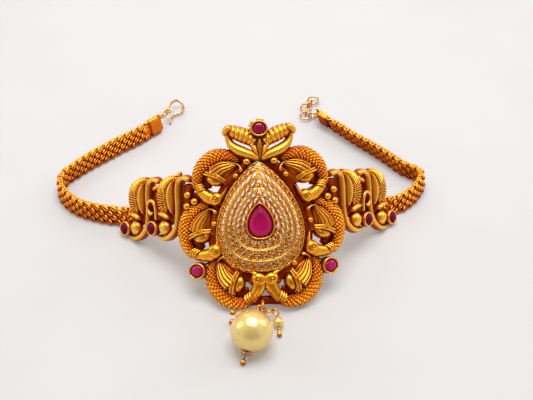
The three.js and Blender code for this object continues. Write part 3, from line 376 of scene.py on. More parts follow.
def ranged(nodes, links, value, low, high, to_low, to_high):
    node = nodes.new("ShaderNodeMapRange")
    for key, number in (("From Min", low), ("From Max", high), ("To Min", to_low), ("To Max", to_high)):
        node.inputs[key].default_value = number
    links.new(value, node.inputs["Value"])
    return node.outputs["Result"]


def mixed(nodes, links, share, first, second):
    """A colour between two colours, each a colour or a socket."""
    node = nodes.new("ShaderNodeMix")
    node.data_type = "RGBA"
    links.new(share, node.inputs["Factor"])
    for key, colour in ((6, first), (7, second)):
        if isinstance(colour, tuple):
            node.inputs[key].default_value = (*colour, 1.0)
        else:
            links.new(colour, node.inputs[key])
    return node.outputs[2]


def multiplied(nodes, links, first, second):
    node = nodes.new("ShaderNodeMath")
    node.operation = "MULTIPLY"
    links.new(first, node.inputs[0])
    links.new(second, node.inputs[1])
    return node.outputs[0]


def bumped(nodes, links, shader, height, depth_mm):
    node = nodes.new("ShaderNodeBump")
    node.inputs["Strength"].default_value = 1.0
    node.inputs["Distance"].default_value = depth_mm / 1000.0
    links.new(height, node.inputs["Height"])
    links.new(node.outputs["Normal"], shader.inputs["Normal"])


def patina_and_shade_mask(nodes, links, reach_mm, low, high):
    """0 deep in a hollow, 1 on an open face."""
    node = nodes.new("ShaderNodeAmbientOcclusion")
    node.samples = 6
    node.inputs["Distance"].default_value = reach_mm / 1000.0
    return ranged(nodes, links, node.outputs["AO"], low, high, 0.0, 1.0)


# %% The golds


OPEN_AT = (0.15, 0.75)  # occlusion from closed in to open


def gold_finish(name, tones, reach=1.0, rough=(0.5, 0.24), grain=0.02, tilt=(-0.05, 0.7), metal=1.0):
    """Metal that runs through four tones, from a hollow to a face that looks away from the piece's back: the dark
    tones are patina and painted shade, the bright ones rubbed gold and painted highlight. A metal under 1 adds some
    plain colour, as on a lacquered or worn gilt."""
    material, nodes, links, shader, place = new_finish(name)
    # Painted light and shade: faces turned out get the bright tones as painted highlight, and closed-in places the
    # dark ones, partly patina and partly painted shade.
    lit_facing = nodes.new("ShaderNodeAttribute")
    lit_facing.attribute_name = "raised"
    top = ranged(nodes, links, lit_facing.outputs["Fac"], *tilt, 0.12, 1.0)
    opened = patina_and_shade_mask(nodes, links, reach, *OPEN_AT)
    share = multiplied(nodes, links, top, ranged(nodes, links, opened, 0.0, 1.0, 0.12, 1.0))
    blotch = ranged(nodes, links, noise(nodes, links, place, 1.6, 4.0), 0.3, 0.7, 0.82, 1.1)
    share = multiplied(nodes, links, share, blotch)
    ramp = nodes.new("ShaderNodeValToRGB")
    stops = ramp.color_ramp.elements
    for stop in (0.34, 0.68):
        stops.new(stop)
    for stop, tone in zip(stops, tones):
        stop.color = (*tone, 1.0)
    links.new(share, ramp.inputs["Fac"])
    links.new(ramp.outputs["Color"], shader.inputs["Base Color"])
    links.new(ranged(nodes, links, share, 0.0, 1.0, *rough), shader.inputs["Roughness"])
    shader.inputs["Metallic"].default_value = metal
    bumped(nodes, links, shader, noise(nodes, links, place, 0.35, 3.0, 0.6), grain)
    return material


ANTIQUE = gold_finish("antique_gold", [(0.05, 0.002, 0.001), (0.42, 0.04, 0.002), (0.97, 0.27, 0.008),
                                       (1.0, 0.50, 0.035)], metal=0.88)
# Only faces that look straight out get the bright tones here: a painted highlight along the top of each wire.
FILIGREE = gold_finish("filigree_gold", [(0.10, 0.004, 0.001), (0.48, 0.05, 0.003), (0.95, 0.32, 0.018),
                                         (1.0, 0.66, 0.13)], reach=0.4, tilt=(0.4, 0.97))
ROPE_GOLD = gold_finish("rope_gold", [(0.20, 0.012, 0.001), (0.60, 0.09, 0.004), (1.0, 0.36, 0.02),
                                      (1.0, 0.62, 0.10)], reach=0.3)
PAISLEY_GOLD = gold_finish("paisley_gold", [(0.12, 0.006, 0.001), (0.60, 0.09, 0.004), (1.0, 0.35, 0.012),
                                           (1.0, 0.62, 0.08)], reach=0.6, metal=0.75)
# A lighter copy of the gold for the fans and crest: its brighter tones are a painted highlight from the top light.
PAINTED_LIT_GOLD = gold_finish("painted_lit_gold", [(0.12, 0.005, 0.001), (0.60, 0.085, 0.003), (1.0, 0.36, 0.012),
                                     (1.0, 0.58, 0.06)], reach=0.5, rough=(0.5, 0.32), metal=0.8)
WOVEN = gold_finish("woven_gold", [(0.20, 0.016, 0.002), (0.66, 0.12, 0.006), (0.98, 0.31, 0.012),
                                   (1.0, 0.46, 0.04)], reach=0.8, rough=(0.6, 0.4), metal=0.85)
PALE = gold_finish("pale_gold", [(0.20, 0.05, 0.01), (0.46, 0.17, 0.04), (0.70, 0.33, 0.08), (0.86, 0.48, 0.16)],
                   reach=0.5, rough=(0.35, 0.2), grain=0.004)
print("golds ready")

# %% [markdown]
# ## Stones and pearls
# The rubies are closed at the back, so they are dark at the edge and glow where light comes round inside. That glow
# is painted: a mix of deep and bright magenta along the stone's height, under a clear polished coat. Pearls have a
# soft body colour and a sharper skin over it, which is a clear coat over a satin base; towards the edge their
# colour turns amber, a painted reflection of the gold round them.

# %% Stones and pearls


def stone_finish(name, deep, glow, low_mm, high_mm, shine=0.2):
    """A polished stone: a painted glow at its foot, deep at its head, measured by height over the table."""
    material, nodes, links, shader, place = new_finish(name)
    split = nodes.new("ShaderNodeSeparateXYZ")
    links.new(place, split.inputs["Vector"])
    share = ranged(nodes, links, split.outputs["Z"], low_mm / 1000, high_mm / 1000, 0.0, 1.0)
    cloud = noise(nodes, links, place, 3.0, 2.0)
    wavy = nodes.new("ShaderNodeMath")
    wavy.operation = "MULTIPLY_ADD"
    links.new(cloud, wavy.inputs[0])
    wavy.inputs[1].default_value = 0.5
    links.new(share, wavy.inputs[2])
    shifted = ranged(nodes, links, wavy.outputs[0], 0.15, 1.25, 0.0, 1.0)
    links.new(mixed(nodes, links, shifted, glow, deep), shader.inputs["Base Color"])
    shader.inputs["Roughness"].default_value = 0.12
    shader.inputs["IOR"].default_value = 1.76
    shader.inputs["Specular IOR Level"].default_value = shine
    shader.inputs["Coat Weight"].default_value = shine / 2
    shader.inputs["Coat Roughness"].default_value = 0.04
    return material


def pearl_finish(name, body, rim, grain):
    material, nodes, links, shader, place = new_finish(name)
    edge = nodes.new("ShaderNodeLayerWeight")
    edge.inputs["Blend"].default_value = 0.35
    cloud = ranged(nodes, links, noise(nodes, links, place, grain, 2.0), 0.3, 0.7, 0.0, 1.0)
    lively = mixed(nodes, links, cloud, body, tuple(0.94 * c for c in body))
    # Towards the edge the colour turns to the rim tone: a painted reflection of the gold round the pearl.
    links.new(mixed(nodes, links, edge.outputs["Facing"], lively, rim), shader.inputs["Base Color"])
    shader.inputs["Metallic"].default_value = 0.5
    shader.inputs["Roughness"].default_value = 0.25
    shader.inputs["Coat Weight"].default_value = 0.6
    shader.inputs["Coat Roughness"].default_value = 0.07
    shader.inputs["Sheen Weight"].default_value = 0.15
    bumped(nodes, links, shader, noise(nodes, links, place, 0.8, 2.0), 0.004)
    return material


def clear_finish(name):
    material, nodes, links, shader, place = new_finish(name)
    haze = noise(nodes, links, place, 0.9, 2.0)
    links.new(ranged(nodes, links, haze, 0.3, 0.7, 0.04, 0.16), shader.inputs["Roughness"])
    shader.inputs["Base Color"].default_value = (0.97, 0.96, 0.93, 1.0)
    shader.inputs["Transmission Weight"].default_value = 0.85
    shader.inputs["IOR"].default_value = 1.5
    return material


BIG_RUBY = stone_finish("pear_ruby_red", (0.25, 0.002, 0.04), (0.74, 0.004, 0.19), 18, 27)
SMALL_RUBY = stone_finish("round_ruby_red", (0.20, 0.001, 0.03), (0.50, 0.002, 0.13), 0, 60)
WINE_RUBY = stone_finish("wine_ruby_red", (0.06, 0.002, 0.012), (0.18, 0.004, 0.05), 0, 60, shine=0.02)
GOLDEN_PEARL = pearl_finish("golden_pearl", (1.0, 0.84, 0.30), (0.80, 0.36, 0.02), 5.0)
SEED_PEARL = pearl_finish("seed_pearl", (1.0, 0.72, 0.20), (0.82, 0.38, 0.03), 1.5)
CLEAR = clear_finish("clear_bead")
print("stones ready")

# %% [markdown]
# ## The peacocks
# Each bird is cast from one model: a granulated tail lobe sweeps round a ribbed fan, a double band closes the fan
# over a smooth belly, and a collar leads to the neck, the head with its ringed eye, and the beak. The model is
# drawn once about the apex of its fan and set on three perches, then mirrored. Rows of grains are part of the
# lobe's surface: the section height rises by the product of two waves, which costs far less than loose spheres.

# %% Perches
PERCHES = [((7.2, 16.5), 39.5, 0.91), ((15.6, 3.2), 0.0, 0.96), ((12.6, -12.2), -57.0, 0.97)]


def perched(p, perch):
    """Turns, scales and moves a bird's grid on to its perch; heights stay."""
    (x0, y0), turn, size = perch
    c, k = math.cos(math.radians(turn)) * size, math.sin(math.radians(turn)) * size
    x, y = p[..., 0], p[..., 1]
    return np.stack([x0 + x * c - y * k, y0 + x * k + y * c, p[..., 2]], axis=-1)


def on_perches(skin, p, **how):
    for perch in PERCHES:
        skin.both(perched(p, perch), **how)


# %% The granulated tail lobe


def grained(points, half, rise, pitch, rows, depth, count, per_row=4, ends=0.06):
    """A band covered with staggered grains: the arch's height follows |cos 2 pi b - cos 2 pi a|, where a counts
    grains along the path and b counts them across it."""
    section = arch(rows * per_row + 1, 0.6)
    at, _, t = path(points, count)
    length = np.linalg.norm(np.diff(at, axis=0), axis=1).sum()
    b = np.linspace(0, rows / 2, len(section))[None]
    a = t[:, None] * length / (2 * pitch) + 0.25 * b
    grains = (np.abs(np.cos(2 * np.pi * b) - np.cos(2 * np.pi * a)) / 2) ** 0.55
    grown = 1 + depth * (grains - 0.7)
    shape = np.stack([section[:, 0] * (1 + 0.3 * (grown - 1)), section[:, 1] * grown], axis=-1)
    return relief(points, half, rise, count, shape, ends=ends)


LOBE = [[-1.0, 1.6], [1.9, 1.6], [4.8, 0.3], [6.9, -2.0], [7.9, -4.9], [8.2, -7.7], [7.5, -10.4], [6.0, -12.4],
        [4.6, -13.3]]
lobe = grained(LOBE, [0.6, 1.4, 2.0, 2.4, 2.6, 2.5, 2.2, 1.9, 1.7],
               [2.0, 2.3, 2.6, 2.7, 2.75, 2.7, 2.6, 2.6, 2.6], pitch=0.66, rows=9, depth=0.32, count=230)
lobes = Skin()
on_perches(lobes, lobe)
lobes.make("peacock_lobes", ANTIQUE, "antique_gold", "peacock_frame")

# %% The ribbed fan and its hollow


def ribbed(points, half, rise, ribs, depth, count, per_rib=9, ends=0.05):
    """A band with ribs along it: the arch's height is scaled by a rounded wave across."""
    section = arch(ribs * per_rib + 1, 0.5)
    across = np.linspace(0, 1, len(section))
    wave = np.abs(np.sin(across * ribs * np.pi)) ** 0.6
    shape = np.stack([section[:, 0], section[:, 1] * (1 - depth + depth * wave)], axis=-1)
    return relief(points, half, rise, count, shape, ends=ends)


FAN = [[-0.5, 0.7], [1.3, -1.3], [2.7, -3.4], [3.5, -6.2]]
fans = Skin()
fan = ribbed(FAN, [0.6, 1.7, 2.3, 2.55], [2.1, 3.1, 3.9, 4.3], ribs=6, depth=0.26, count=50, ends=0.03)
on_perches(fans, fan)
fans.make("peacock_fans", PAINTED_LIT_GOLD, "antique_gold", "peacock_frame")

# %% The low ground round each bird
# This low ground stays under the height of full light, so the gold paints it in shade.
plates = Skin()
low_arch = arch(9, 0.4)
for points, half, rise, count, section in (
        ([[-0.7, 0.0], [0.1, -2.6], [0.7, -6.0]], [0.5, 1.1, 1.1], [1.3, 1.6, 1.5], 30, arch(15, 0.8)),
        ([[-2.6, 2.4], [-2.3, -0.6], [-1.5, -3.6], [-0.6, -7.6]], [1.2, 1.5, 1.6, 1.6], 1.3, 24, low_arch),
        ([[-1.6, 2.9], [2.0, 2.7], [5.5, 1.3]], [0.9, 1.1, 0.9], 1.2, 20, low_arch),
        ([[5.9, -8.6], [3.8, -9.9], [2.7, -11.6]], [1.6, 1.4, 1.2], 1.0, 20, low_arch)):
    on_perches(plates, relief(points, half, rise, count, section))
plates.make("peacock_ground", ANTIQUE, "antique_gold", "peacock_frame")

# %% Bands, bellies, necks and heads
bodies = Skin()
belly = relief([[-0.9, -6.9], [2.4, -8.0], [5.5, -8.5]], [0.8, 1.8, 0.9], [1.9, 3.0, 2.1], 40, arch(19), ends=0.3)
on_perches(bodies, belly)
for band in ([[-1.2, -5.5, 2.4], [2.2, -5.8, 3.35], [5.9, -7.2, 2.75]],
             [[-1.0, -6.15, 2.35], [2.2, -6.6, 3.2], [6.0, -8.1, 2.6]]):
    on_perches(bodies, tube(band, [0.28, 0.42, 0.34], 44, 10, ends=0.05))
tip = [[0.0, 0.65], [-1.1, 0.75], [-2.2, 0.35], [-2.75, -0.45], [-2.6, -1.0]]
curl = relief(tip, [0.42, 0.42, 0.55, 0.8, 0.75], [2.9, 2.9, 3.0, 3.2, 2.9], 44, arch(15), ends=0.12)
on_perches(bodies, curl)
NECK = [[4.8, -13.2], [2.4, -13.4], [0.3, -13.3], [-1.0, -12.9], [-2.0, -12.2]]
neck = relief(NECK, [1.6, 1.7, 1.95, 2.1, 1.9], [2.8, 3.05, 3.3, 3.5, 3.4], 60, arch(23, 0.45), ends=0.06)
on_perches(bodies, neck)
on_perches(bodies, above(globe(1, 40, 20, 0.72) * [2.15, 2.35, 2.45] + [-2.1, -12.1, 1.5]))
beak = [[-2.7, -11.0], [-2.95, -9.7], [-2.75, -8.4], [-2.45, -7.0]]
on_perches(bodies, relief(beak, [1.5, 0.9, 0.5, 0.25], [3.4, 3.1, 2.8, 2.4], 44, arch(15), ends=0.05))
for k in range(3):
    collar = [[2.5 + 0.7 * k, -11.6 + 0.3 * k, 2.3], [3.7 + 0.7 * k, -12.8 + 0.3 * k, 3.25],
              [4.3 + 0.65 * k, -14.5 + 0.4 * k, 2.3]]
    on_perches(bodies, tube(collar, [0.3, 0.42, 0.3], 30, 9, ends=0.1))
EYE = np.array([-2.1, -11.8, 3.95])
on_perches(bodies, torus(0.8, 0.2, 28, 8) + EYE, along=True)
on_perches(bodies, globe(0.4, 12, 7) + EYE)
bodies.make("peacock_bodies", ANTIQUE, "antique_gold", "peacock_frame")

# %% [markdown]
# ## The crest and the frame
# Over the dome two fluted arms spread from a leaf and end in knobs, each with a smooth bow under it, and a ruby
# stands between them. Fluting is a wave in the arm's own half width and height, turned to lie oblique. A narrow
# ring round the dome carries the birds, and loose-looking grains are soldered in the gaps.

# %% Crest
crest = Skin()
flutes = 6
t_arm = np.linspace(0, 1, 100)[:, None]
a_arm = np.linspace(0, np.pi, 23)[None]
twist = np.abs(np.sin(np.pi * (t_arm * flutes + 0.55 * a_arm / np.pi))) ** 0.6
arm_shape = np.stack([np.cos(a_arm) * (0.9 + 0.1 * twist), np.sin(a_arm) ** 0.7 * (0.84 + 0.16 * twist)], axis=-1)
arm = relief([[1.0, 22.7], [4.4, 24.9], [8.2, 26.5]], [1.6, 2.3, 1.9], [3.3, 4.2, 3.9], 100, arm_shape, ends=0.06)
crest.both(arm)
knob = [[6.9, 26.9], [8.3, 27.0], [9.2, 26.2], [9.3, 24.6]]
crest.both(relief(knob, [0.9, 1.2, 1.1, 0.65], [4.3, 4.7, 4.4, 3.6], 40, arch(17), ends=0.25))
bow = [[9.0, 25.6], [8.7, 23.9], [7.8, 22.2], [6.2, 20.9], [4.2, 19.9], [2.0, 18.9], [0.2, 17.7]]
crest.both(relief(bow, [0.6, 0.95, 1.35, 1.6, 1.55, 1.3, 0.6], [3.5, 3.4, 3.5, 3.7, 3.7, 3.4, 3.0], 64, arch(17),
                  ends=0.05))
for foot, tip_, wide, high in (((0.0, 17.6), (0.0, 24.6), (0.25, 0.65, 0.95, 0.5), 3.5),
                               ((0.3, 17.8), (1.75, 22.5), (0.25, 0.5, 0.72, 0.4), 3.25),
                               ((0.7, 18.6), (2.9, 23.6), (0.3, 0.55, 0.7, 0.4), 3.0)):
    petal = [foot, ((foot[0] * 1.4 + tip_[0]) / 2.3, (foot[1] + tip_[1]) / 2), tip_]
    crest.both(relief(petal, wide, [high - 0.7, high, high, high - 0.6], 36, arch(15), ends=0.12))
crest.grid(relief([[0, 17.2], [0, 21], [0, 26]], [0.8, 2.0, 2.4], [1.9, 2.2, 2.2], 20, arch(9, 0.5)))


def bezel_wall(s, v, inner, outer, foot, rim, sides=40):
    """A ring of wall round a stone: its lip leans in a little over the stone."""
    profile = np.array([[outer, foot], [outer * 1.02, rim * 0.72], [outer, rim - 0.25], [outer - 0.18, rim],
                        [inner + 0.1, rim - 0.02], [inner, rim - 0.3], [inner, foot]])
    a = np.arange(sides) / sides * 2 * np.pi
    ring = [s + profile[None, :, 0] * np.cos(a)[:, None], v + profile[None, :, 0] * np.sin(a)[:, None]]
    return np.stack([*ring, profile[None, :, 1] + 0 * ring[0]], axis=-1)


CREST_V, SIDE_S, SIDE_V = 26.7, 19.0, -14.1  # places of the crest stone and of the side stones
crest.grid(bezel_wall(0, CREST_V, 1.84, 2.28, 0.9, 4.75), along=True)
crest.grid(globe(1, 24, 7) * [2.2, 2.2, 0.5] + [0, CREST_V, 2.6])
for angle, radius in ((72, 0.48), (97, 0.5), (136, 0.5), (157, 0.42), (180, 0.5), (203, 0.45)):
    far = 2.62
    at = [far * math.cos(math.radians(angle)), CREST_V + far * math.sin(math.radians(angle)), 2.9]
    crest.grid(globe(radius, 14, 9) + at)
    crest.grid(tube([[at[0], at[1], 0.9], [at[0], at[1], 2.9]], radius * 0.8, 4, 10, up=(0, 1, 0)))
crest.make("crest_leaf_and_arms", PAINTED_LIT_GOLD, "antique_gold", "peacock_frame")

# %% Teardrops
DOME_SHIFT = -0.7
PEAR = dict(half=3.2, top=4.9, bottom=-4.7)
DOME = dict(half=12.5, top=16.9, bottom=-15.1)


def grown(shape, by):
    return dict(half=shape["half"] + by, top=shape["top"] + by * 1.25, bottom=shape["bottom"] - by)


def between(a, b, t):
    return {key: a[key] + (b[key] - a[key]) * t for key in a}


def drop(shape, u):
    """Teardrop outline: x = 1.2 half sin(u)^0.85 sin(u/2)^0.66, y runs from top to bottom as cos(u)."""
    a, b = np.abs(np.sin(u)), np.abs(np.sin(u / 2))
    x = 1.2 * shape["half"] * np.sign(np.sin(u)) * a**0.85 * b**0.66
    y = (shape["top"] + shape["bottom"]) / 2 + (shape["top"] - shape["bottom"]) / 2 * np.cos(u)
    return np.stack([x, y], axis=-1)


def outline(shape, count):
    """Count points at even lengths round a teardrop, starting at its tip."""
    dense = drop(shape, np.linspace(0, 2 * np.pi, 1441))
    run = np.concatenate([[0], np.cumsum(np.linalg.norm(np.diff(dense, axis=0), axis=1))])
    want = np.linspace(0, run[-1], count, endpoint=False)
    return np.stack([np.interp(want, run, dense[:, k]) for k in (0, 1)], axis=-1)


def ring_round(shape, section, count):
    """A section of (out, height) carried round a teardrop."""
    at = outline(shape, count)
    way = np.roll(at, -1, axis=0) - np.roll(at, 1, axis=0)
    way /= np.linalg.norm(way, axis=1, keepdims=True)
    out = np.stack([-way[:, 1], way[:, 0]], axis=-1)
    section = np.asarray(section, float)
    flat = at[:, None] + out[:, None] * section[None, :, 0:1]
    return np.concatenate([flat, np.broadcast_to(section[None, :, 1:2], (*flat.shape[:2], 1))], axis=-1)


# %% Carrier, links, grains and lug
frame_skin = Skin()
rail = [[0, 0.2], [0, 0.95], [0.4, 1.15], [1.9, 1.05], [2.7, 0.8], [2.7, 0.2]]
carrier = ring_round(grown(DOME, 0.35), rail, 200)
frame_skin.grid(carrier + [DOME_SHIFT, 0, 0], along=True)
LINKS = [([[16.0, 6.4], [19.2, 6.5], [22.2, 6.7]], [1.2, 2.4, 2.3], 1.0),
         ([[15.6, -12.9], [19.0, -14.1]], [1.6, 1.3], 1.6),
         ([[0.0, -16.2], [2.8, -16.9], [4.4, -18.5]], [0.9, 1.0, 0.9], 1.3),
         ([[-0.6, -23.2], [2.6, -23.4], [5.2, -23.6]], 1.3, 1.1),
         ([[21.5, 11.8], [22.3, 8.0], [22.4, 3.0]], [1.6, 1.8, 1.6], 1.1)]
for points, half, rise in LINKS:
    frame_skin.both(relief(points, half, rise, 24, arch(11)))
GRAINS = [(3.75, 17.3, 1.08), (6.9, 13.3, 0.82), (13.5, -0.4, 0.85), (8.3, -12.6, 0.85),
          (21.4, 8.3, 1.1), (19.3, 6.3, 1.1), (21.7, 5.0, 1.1)]
for s, v, radius in GRAINS:
    frame_skin.both(globe(radius, 22, 12) + [s, v, 3.3 - radius])
    frame_skin.both(tube([[s, v, 0.3], [s, v, 2.2]], radius * 0.7, 4, 12, up=(0, 1, 0)))
frame_skin.both(bezel_wall(SIDE_S, SIDE_V, 1.95, 2.5, 0.2, 3.55), along=True)
frame_skin.both(globe(1, 24, 7) * [2.3, 2.3, 0.6] + [SIDE_S, SIDE_V, 1.3])
LUG = np.array([-0.9, -24.5, 3.4])
lug = torus(1.0, 0.3, 36, 10)[..., [2, 1, 0]]
frame_skin.grid(lug + LUG, along=True)
frame_skin.grid(globe(0.65, 14, 9) * [1, 1, 2.6] + [LUG[0], LUG[1] + 1.1, 1.9])
frame_skin.make("carrier_and_grains", ANTIQUE, "antique_gold", "peacock_frame")

# %% [markdown]
# ## The filigree dome
# Filigree is bent wire, laid in rows between twisted ropes and soldered. A row holds one scroll per cell, and the
# scroll is a spiral that closes into a ring and curls in once more. Small rings fill the corners between cells, and
# thinner wires lie under the lower part of each row, where they darken the openings as a stand-in for shade. All
# the
# scrolls of a row are one array: the spiral is worked out once in the cell's own coordinates and then carried to
# every cell together.

# %% Dome surface
BEZEL = grown(PEAR, 0.75)
DOME_EDGE, DOME_CROWN = 1.3, 4.6
ROW_SEAMS = [0.0, 0.15, 0.30, 0.46, 0.62, 0.81, 0.975]
DOME_CELLS = [17, 22, 27, 31, 36, 41]


def dome_top(t):
    """Height of the dome from the bezel (0) to its edge (1): a quarter of an ellipse."""
    return DOME_EDGE + (DOME_CROWN - DOME_EDGE) * np.sqrt(np.clip(1 - t * t * 0.98, 0, 1))


def on_dome(k, t, count):
    """Place on the dome: k cells of count along the outline at share t from bezel to edge."""
    around, last, spare = 360, 44, 0.05  # places on a ring, last ring, and share past both edges
    rings = [outline(between(BEZEL, DOME, q), around) for q in np.linspace(-spare, 1 + spare, last + 1)]
    rings = np.stack(rings)
    a = (k % count) / count * around
    i, j = np.floor(a).astype(int) % around, (np.floor(a).astype(int) + 1) % around
    q = np.clip((t + spare) / (1 + 2 * spare) * last, 0, last - 0.001)
    p = q.astype(int)
    f, g = (a - np.floor(a))[..., None], (q - p)[..., None]
    low = rings[p, i] * (1 - f) + rings[p, j] * f
    high = rings[p + 1, i] * (1 - f) + rings[p + 1, j] * f
    return low * (1 - g) + high * g


# %% Scrolls
def shifted(p):
    """The dome sits a little left of the frame's middle."""
    return on_arm(p + [DOME_SHIFT, 0, 0])


def scroll(steps):
    """A scroll in its cell, x and y from -0.5 to 0.5: one full turn, then a half turn that curls to the middle."""
    t = np.linspace(0, 1, steps)
    angle = np.pi * (0.62 + 3.1 * t)
    radius = 0.49 - 0.34 * np.clip((t - 0.6) / 0.4, 0, 1) ** 0.9
    return radius * np.cos(angle), radius * np.sin(angle)


def scroll_row(row, steps=32, sides=7, wire=0.24, offset=0.0, sink=0.0):
    """Every scroll of a row as tubes: their middles on the dome, their sections from neighbouring points."""
    inside, outside, count = ROW_SEAMS[row], ROW_SEAMS[row + 1], DOME_CELLS[row]
    x, y = scroll(steps)
    cells = np.arange(count)[:, None]
    side = np.where(cells < count / 2, 1.0, -1.0) * (-1) ** row
    k = cells + 0.5 * (row % 2) + 0.5 + offset + x[None] * side
    t = (inside + outside) / 2 + y[None] * (outside - inside) * 1.02 * (-1) ** (row // 2)
    flat = on_dome(k, t, count)
    height = dome_top(t) - sink + 0.10 + 0.25 * np.linspace(0, 1, steps)[None] ** 2
    middle = np.concatenate([flat, np.broadcast_to(height, (count, steps))[..., None]], axis=-1)
    way = np.gradient(middle, axis=1)
    way /= np.linalg.norm(way, axis=-1, keepdims=True)
    across = np.cross([0.0, 0.0, 1.0], way)
    across /= np.linalg.norm(across, axis=-1, keepdims=True)
    top = np.cross(way, across)
    a = np.arange(sides) / sides * 2 * np.pi
    ring = np.cos(a)[:, None] * across[:, :, None] + 1.35 * np.sin(a)[:, None] * top[:, :, None]
    return middle[:, :, None] + wire * ring


filigree = Skin(shifted)
for row, count in enumerate(DOME_CELLS):
    # Thinner, lower wires under the lower part of each row only: they darken those openings, standing in for the
    # shade under the dome.
    lower_shade_wires = scroll_row(row, 20, 5, 0.12, offset=0.42, sink=0.5)[round(count * 0.3):round(count * 0.7)]
    for one in [*scroll_row(row), *lower_shade_wires]:
        filigree.grid(one)
for row, count in enumerate(DOME_CELLS):
    corners = on_dome(np.arange(count) + 0.5 * (row % 2), np.full(count, ROW_SEAMS[row + 1] - 0.01), count)
    for x, y in corners:
        filigree.grid(torus(0.34, 0.15, 11, 5) + [x, y, dome_top(ROW_SEAMS[row + 1]) + 0.05], along=True)
filigree.make("dome_scrolls", FILIGREE, "antique_gold", "filigree_dome")

# %% Ropes, rim and stone collar
ropes = Skin(shifted)


def dome_line(t, lift, out=0.0):
    at = outline(grown(between(BEZEL, DOME, t), out), 240)
    return np.column_stack([at, np.full(len(at), dome_top(t) + lift)])


ROPES = [(t, out, 0.23) for t in (0.30, 0.62) for out in (-0.19, 0.19)] + [(0.93, 0.0, 0.28)]
for t, out, radius in ROPES:
    ropes.grid(closed_rope(dome_line(t, 0.36, out), radius, 520, 0.5), along=True)
a_rim = np.arange(12) / 12 * 2 * np.pi
rim = np.column_stack([0.34 * np.cos(a_rim) - 0.1, DOME_EDGE + 0.3 + 0.4 * np.sin(a_rim)])
ropes.grid(ring_round(DOME, rim, 240), along=True)
skirt = [[-0.15, DOME_EDGE + 0.1], [-0.15, 0.35], [-0.75, 0.35], [-0.75, DOME_EDGE + 0.3]]
ropes.grid(ring_round(DOME, skirt, 200), along=True)
ropes.make("dome_ropes", ROPE_GOLD, "antique_gold", "filigree_dome")

PEAR_SEAT = 3.6
collar_skin = Skin(shifted)
wall = [[0.0, PEAR_SEAT - 1.0], [0.0, PEAR_SEAT + 1.95], [0.1, PEAR_SEAT + 2.1], [0.3, PEAR_SEAT + 2.1],
        [0.42, PEAR_SEAT + 1.9], [0.55, PEAR_SEAT + 1.1], [0.6, PEAR_SEAT - 1.0]]
collar_skin.grid(ring_round(grown(PEAR, 0.1), wall, 160), along=True)
floor = [[0.2, PEAR_SEAT - 1.0], [0.2, PEAR_SEAT + 0.1], [-1.6, PEAR_SEAT + 0.1], [-1.6, PEAR_SEAT - 1.0]]
collar_skin.grid(ring_round(PEAR, floor, 120), along=True)
collar_skin.make("pear_collar", ANTIQUE, "antique_gold", "filigree_dome")

# %% [markdown]
# ## The rubies
# A cut stone is flat facets, so its faces stay unsmoothed. Rings of corners step in from the girdle to the table,
# each ring turned half a facet against the last, which makes the kite and star facets of a real crown.

# %% Cut stones


def cut_stone(corner, heights, scales, sides):
    """Rings of corners: corner(u, scale) gives (s, v). Every second ring is turned by half a facet."""
    rings = []
    for k, (height, scale) in enumerate(zip(heights, scales)):
        flat = corner((np.arange(sides) + 0.5 * (k % 2)) / sides * 2 * np.pi, scale)
        rings.append(np.concatenate([flat, np.full((sides, 1), height)], axis=1))
    return np.stack(rings)


def pear_corner(u, scale):
    p = drop(PEAR, u)
    return (p + [0, 0.6]) * scale - [0, 0.6]


def round_corner(s, v, radius):
    return lambda u, scale: np.stack([s + radius * scale * np.cos(u), v + radius * scale * np.sin(u)], axis=-1)


PEAR_SIDES, ROUND_SIDES = 22, 14
pear_heights = PEAR_SEAT + np.array([0.25, 1.1, 1.5, 2.15, 2.62])
pear_rings = cut_stone(pear_corner, pear_heights, [0.7, 0.975, 0.975, 0.84, 0.6], PEAR_SIDES)
Skin(shifted).grid(pear_rings).make("pear_stone", BIG_RUBY, "ruby", "pear_ruby", smooth=False)


def round_stone(s, v, radius, seat):
    """A round stone over its seat, cut like the pear."""
    heights = seat + np.array([0.3, 0.9, 1.25, 1.75, 2.0])
    return cut_stone(round_corner(s, v, radius), heights, [0.55, 1.0, 1.0, 0.8, 0.52], ROUND_SIDES)


crest_gem = Skin().grid(round_stone(0, CREST_V, 1.8, 3.0))
crest_gem.make("crest_stone", SMALL_RUBY, "ruby", "crest_ruby", smooth=False)
for side, name in ((1, "right"), (-1, "left")):
    stone = Skin().grid(round_stone(side * SIDE_S, SIDE_V, 1.8, 1.9))
    stone.make(f"side_stone_{name}", SMALL_RUBY, "ruby", f"side_ruby_{name}", smooth=False)

# %% [markdown]
# ## The paisley wings
# Each wing is two paisleys: a smooth border like a shepherd's crook, a bright leaf, a milled fan behind it, and a
# bud with a ruby that faces sideways. The milling is a wave along the fan's own path. The second paisley is the
# first, moved along, without the loop that the first lays over it.

# %% Wing pieces
MOTIF_PITCH, STONE_PITCH = 14.2, 13.6
CROOK = [[20.2, 12.2], [21.3, 13.1], [23.0, 13.4], [24.6, 12.5], [25.3, 9.8], [25.5, 5.2], [25.9, 1.4],
         [27.3, -1.6], [29.9, -3.8], [33.0, -4.6], [36.2, -3.8]]


def milled(points, half, rise, ribs, depth, count, section, ends=0.06):
    """A band with ribs across it: its height follows a rounded wave along the path."""
    t = np.linspace(0, 1, count)[:, None]
    lean_back = 0.35 * section[None, :, 0]
    wave = np.abs(np.sin(np.pi * (t * ribs + lean_back))) ** 0.7
    grown_by = 1 - depth + depth * wave
    shape = np.stack([section[None, :, 0] * (0.97 + 0.03 * wave), section[None, :, 1] * grown_by], axis=-1)
    return relief(points, half, rise, count, shape, ends=ends)


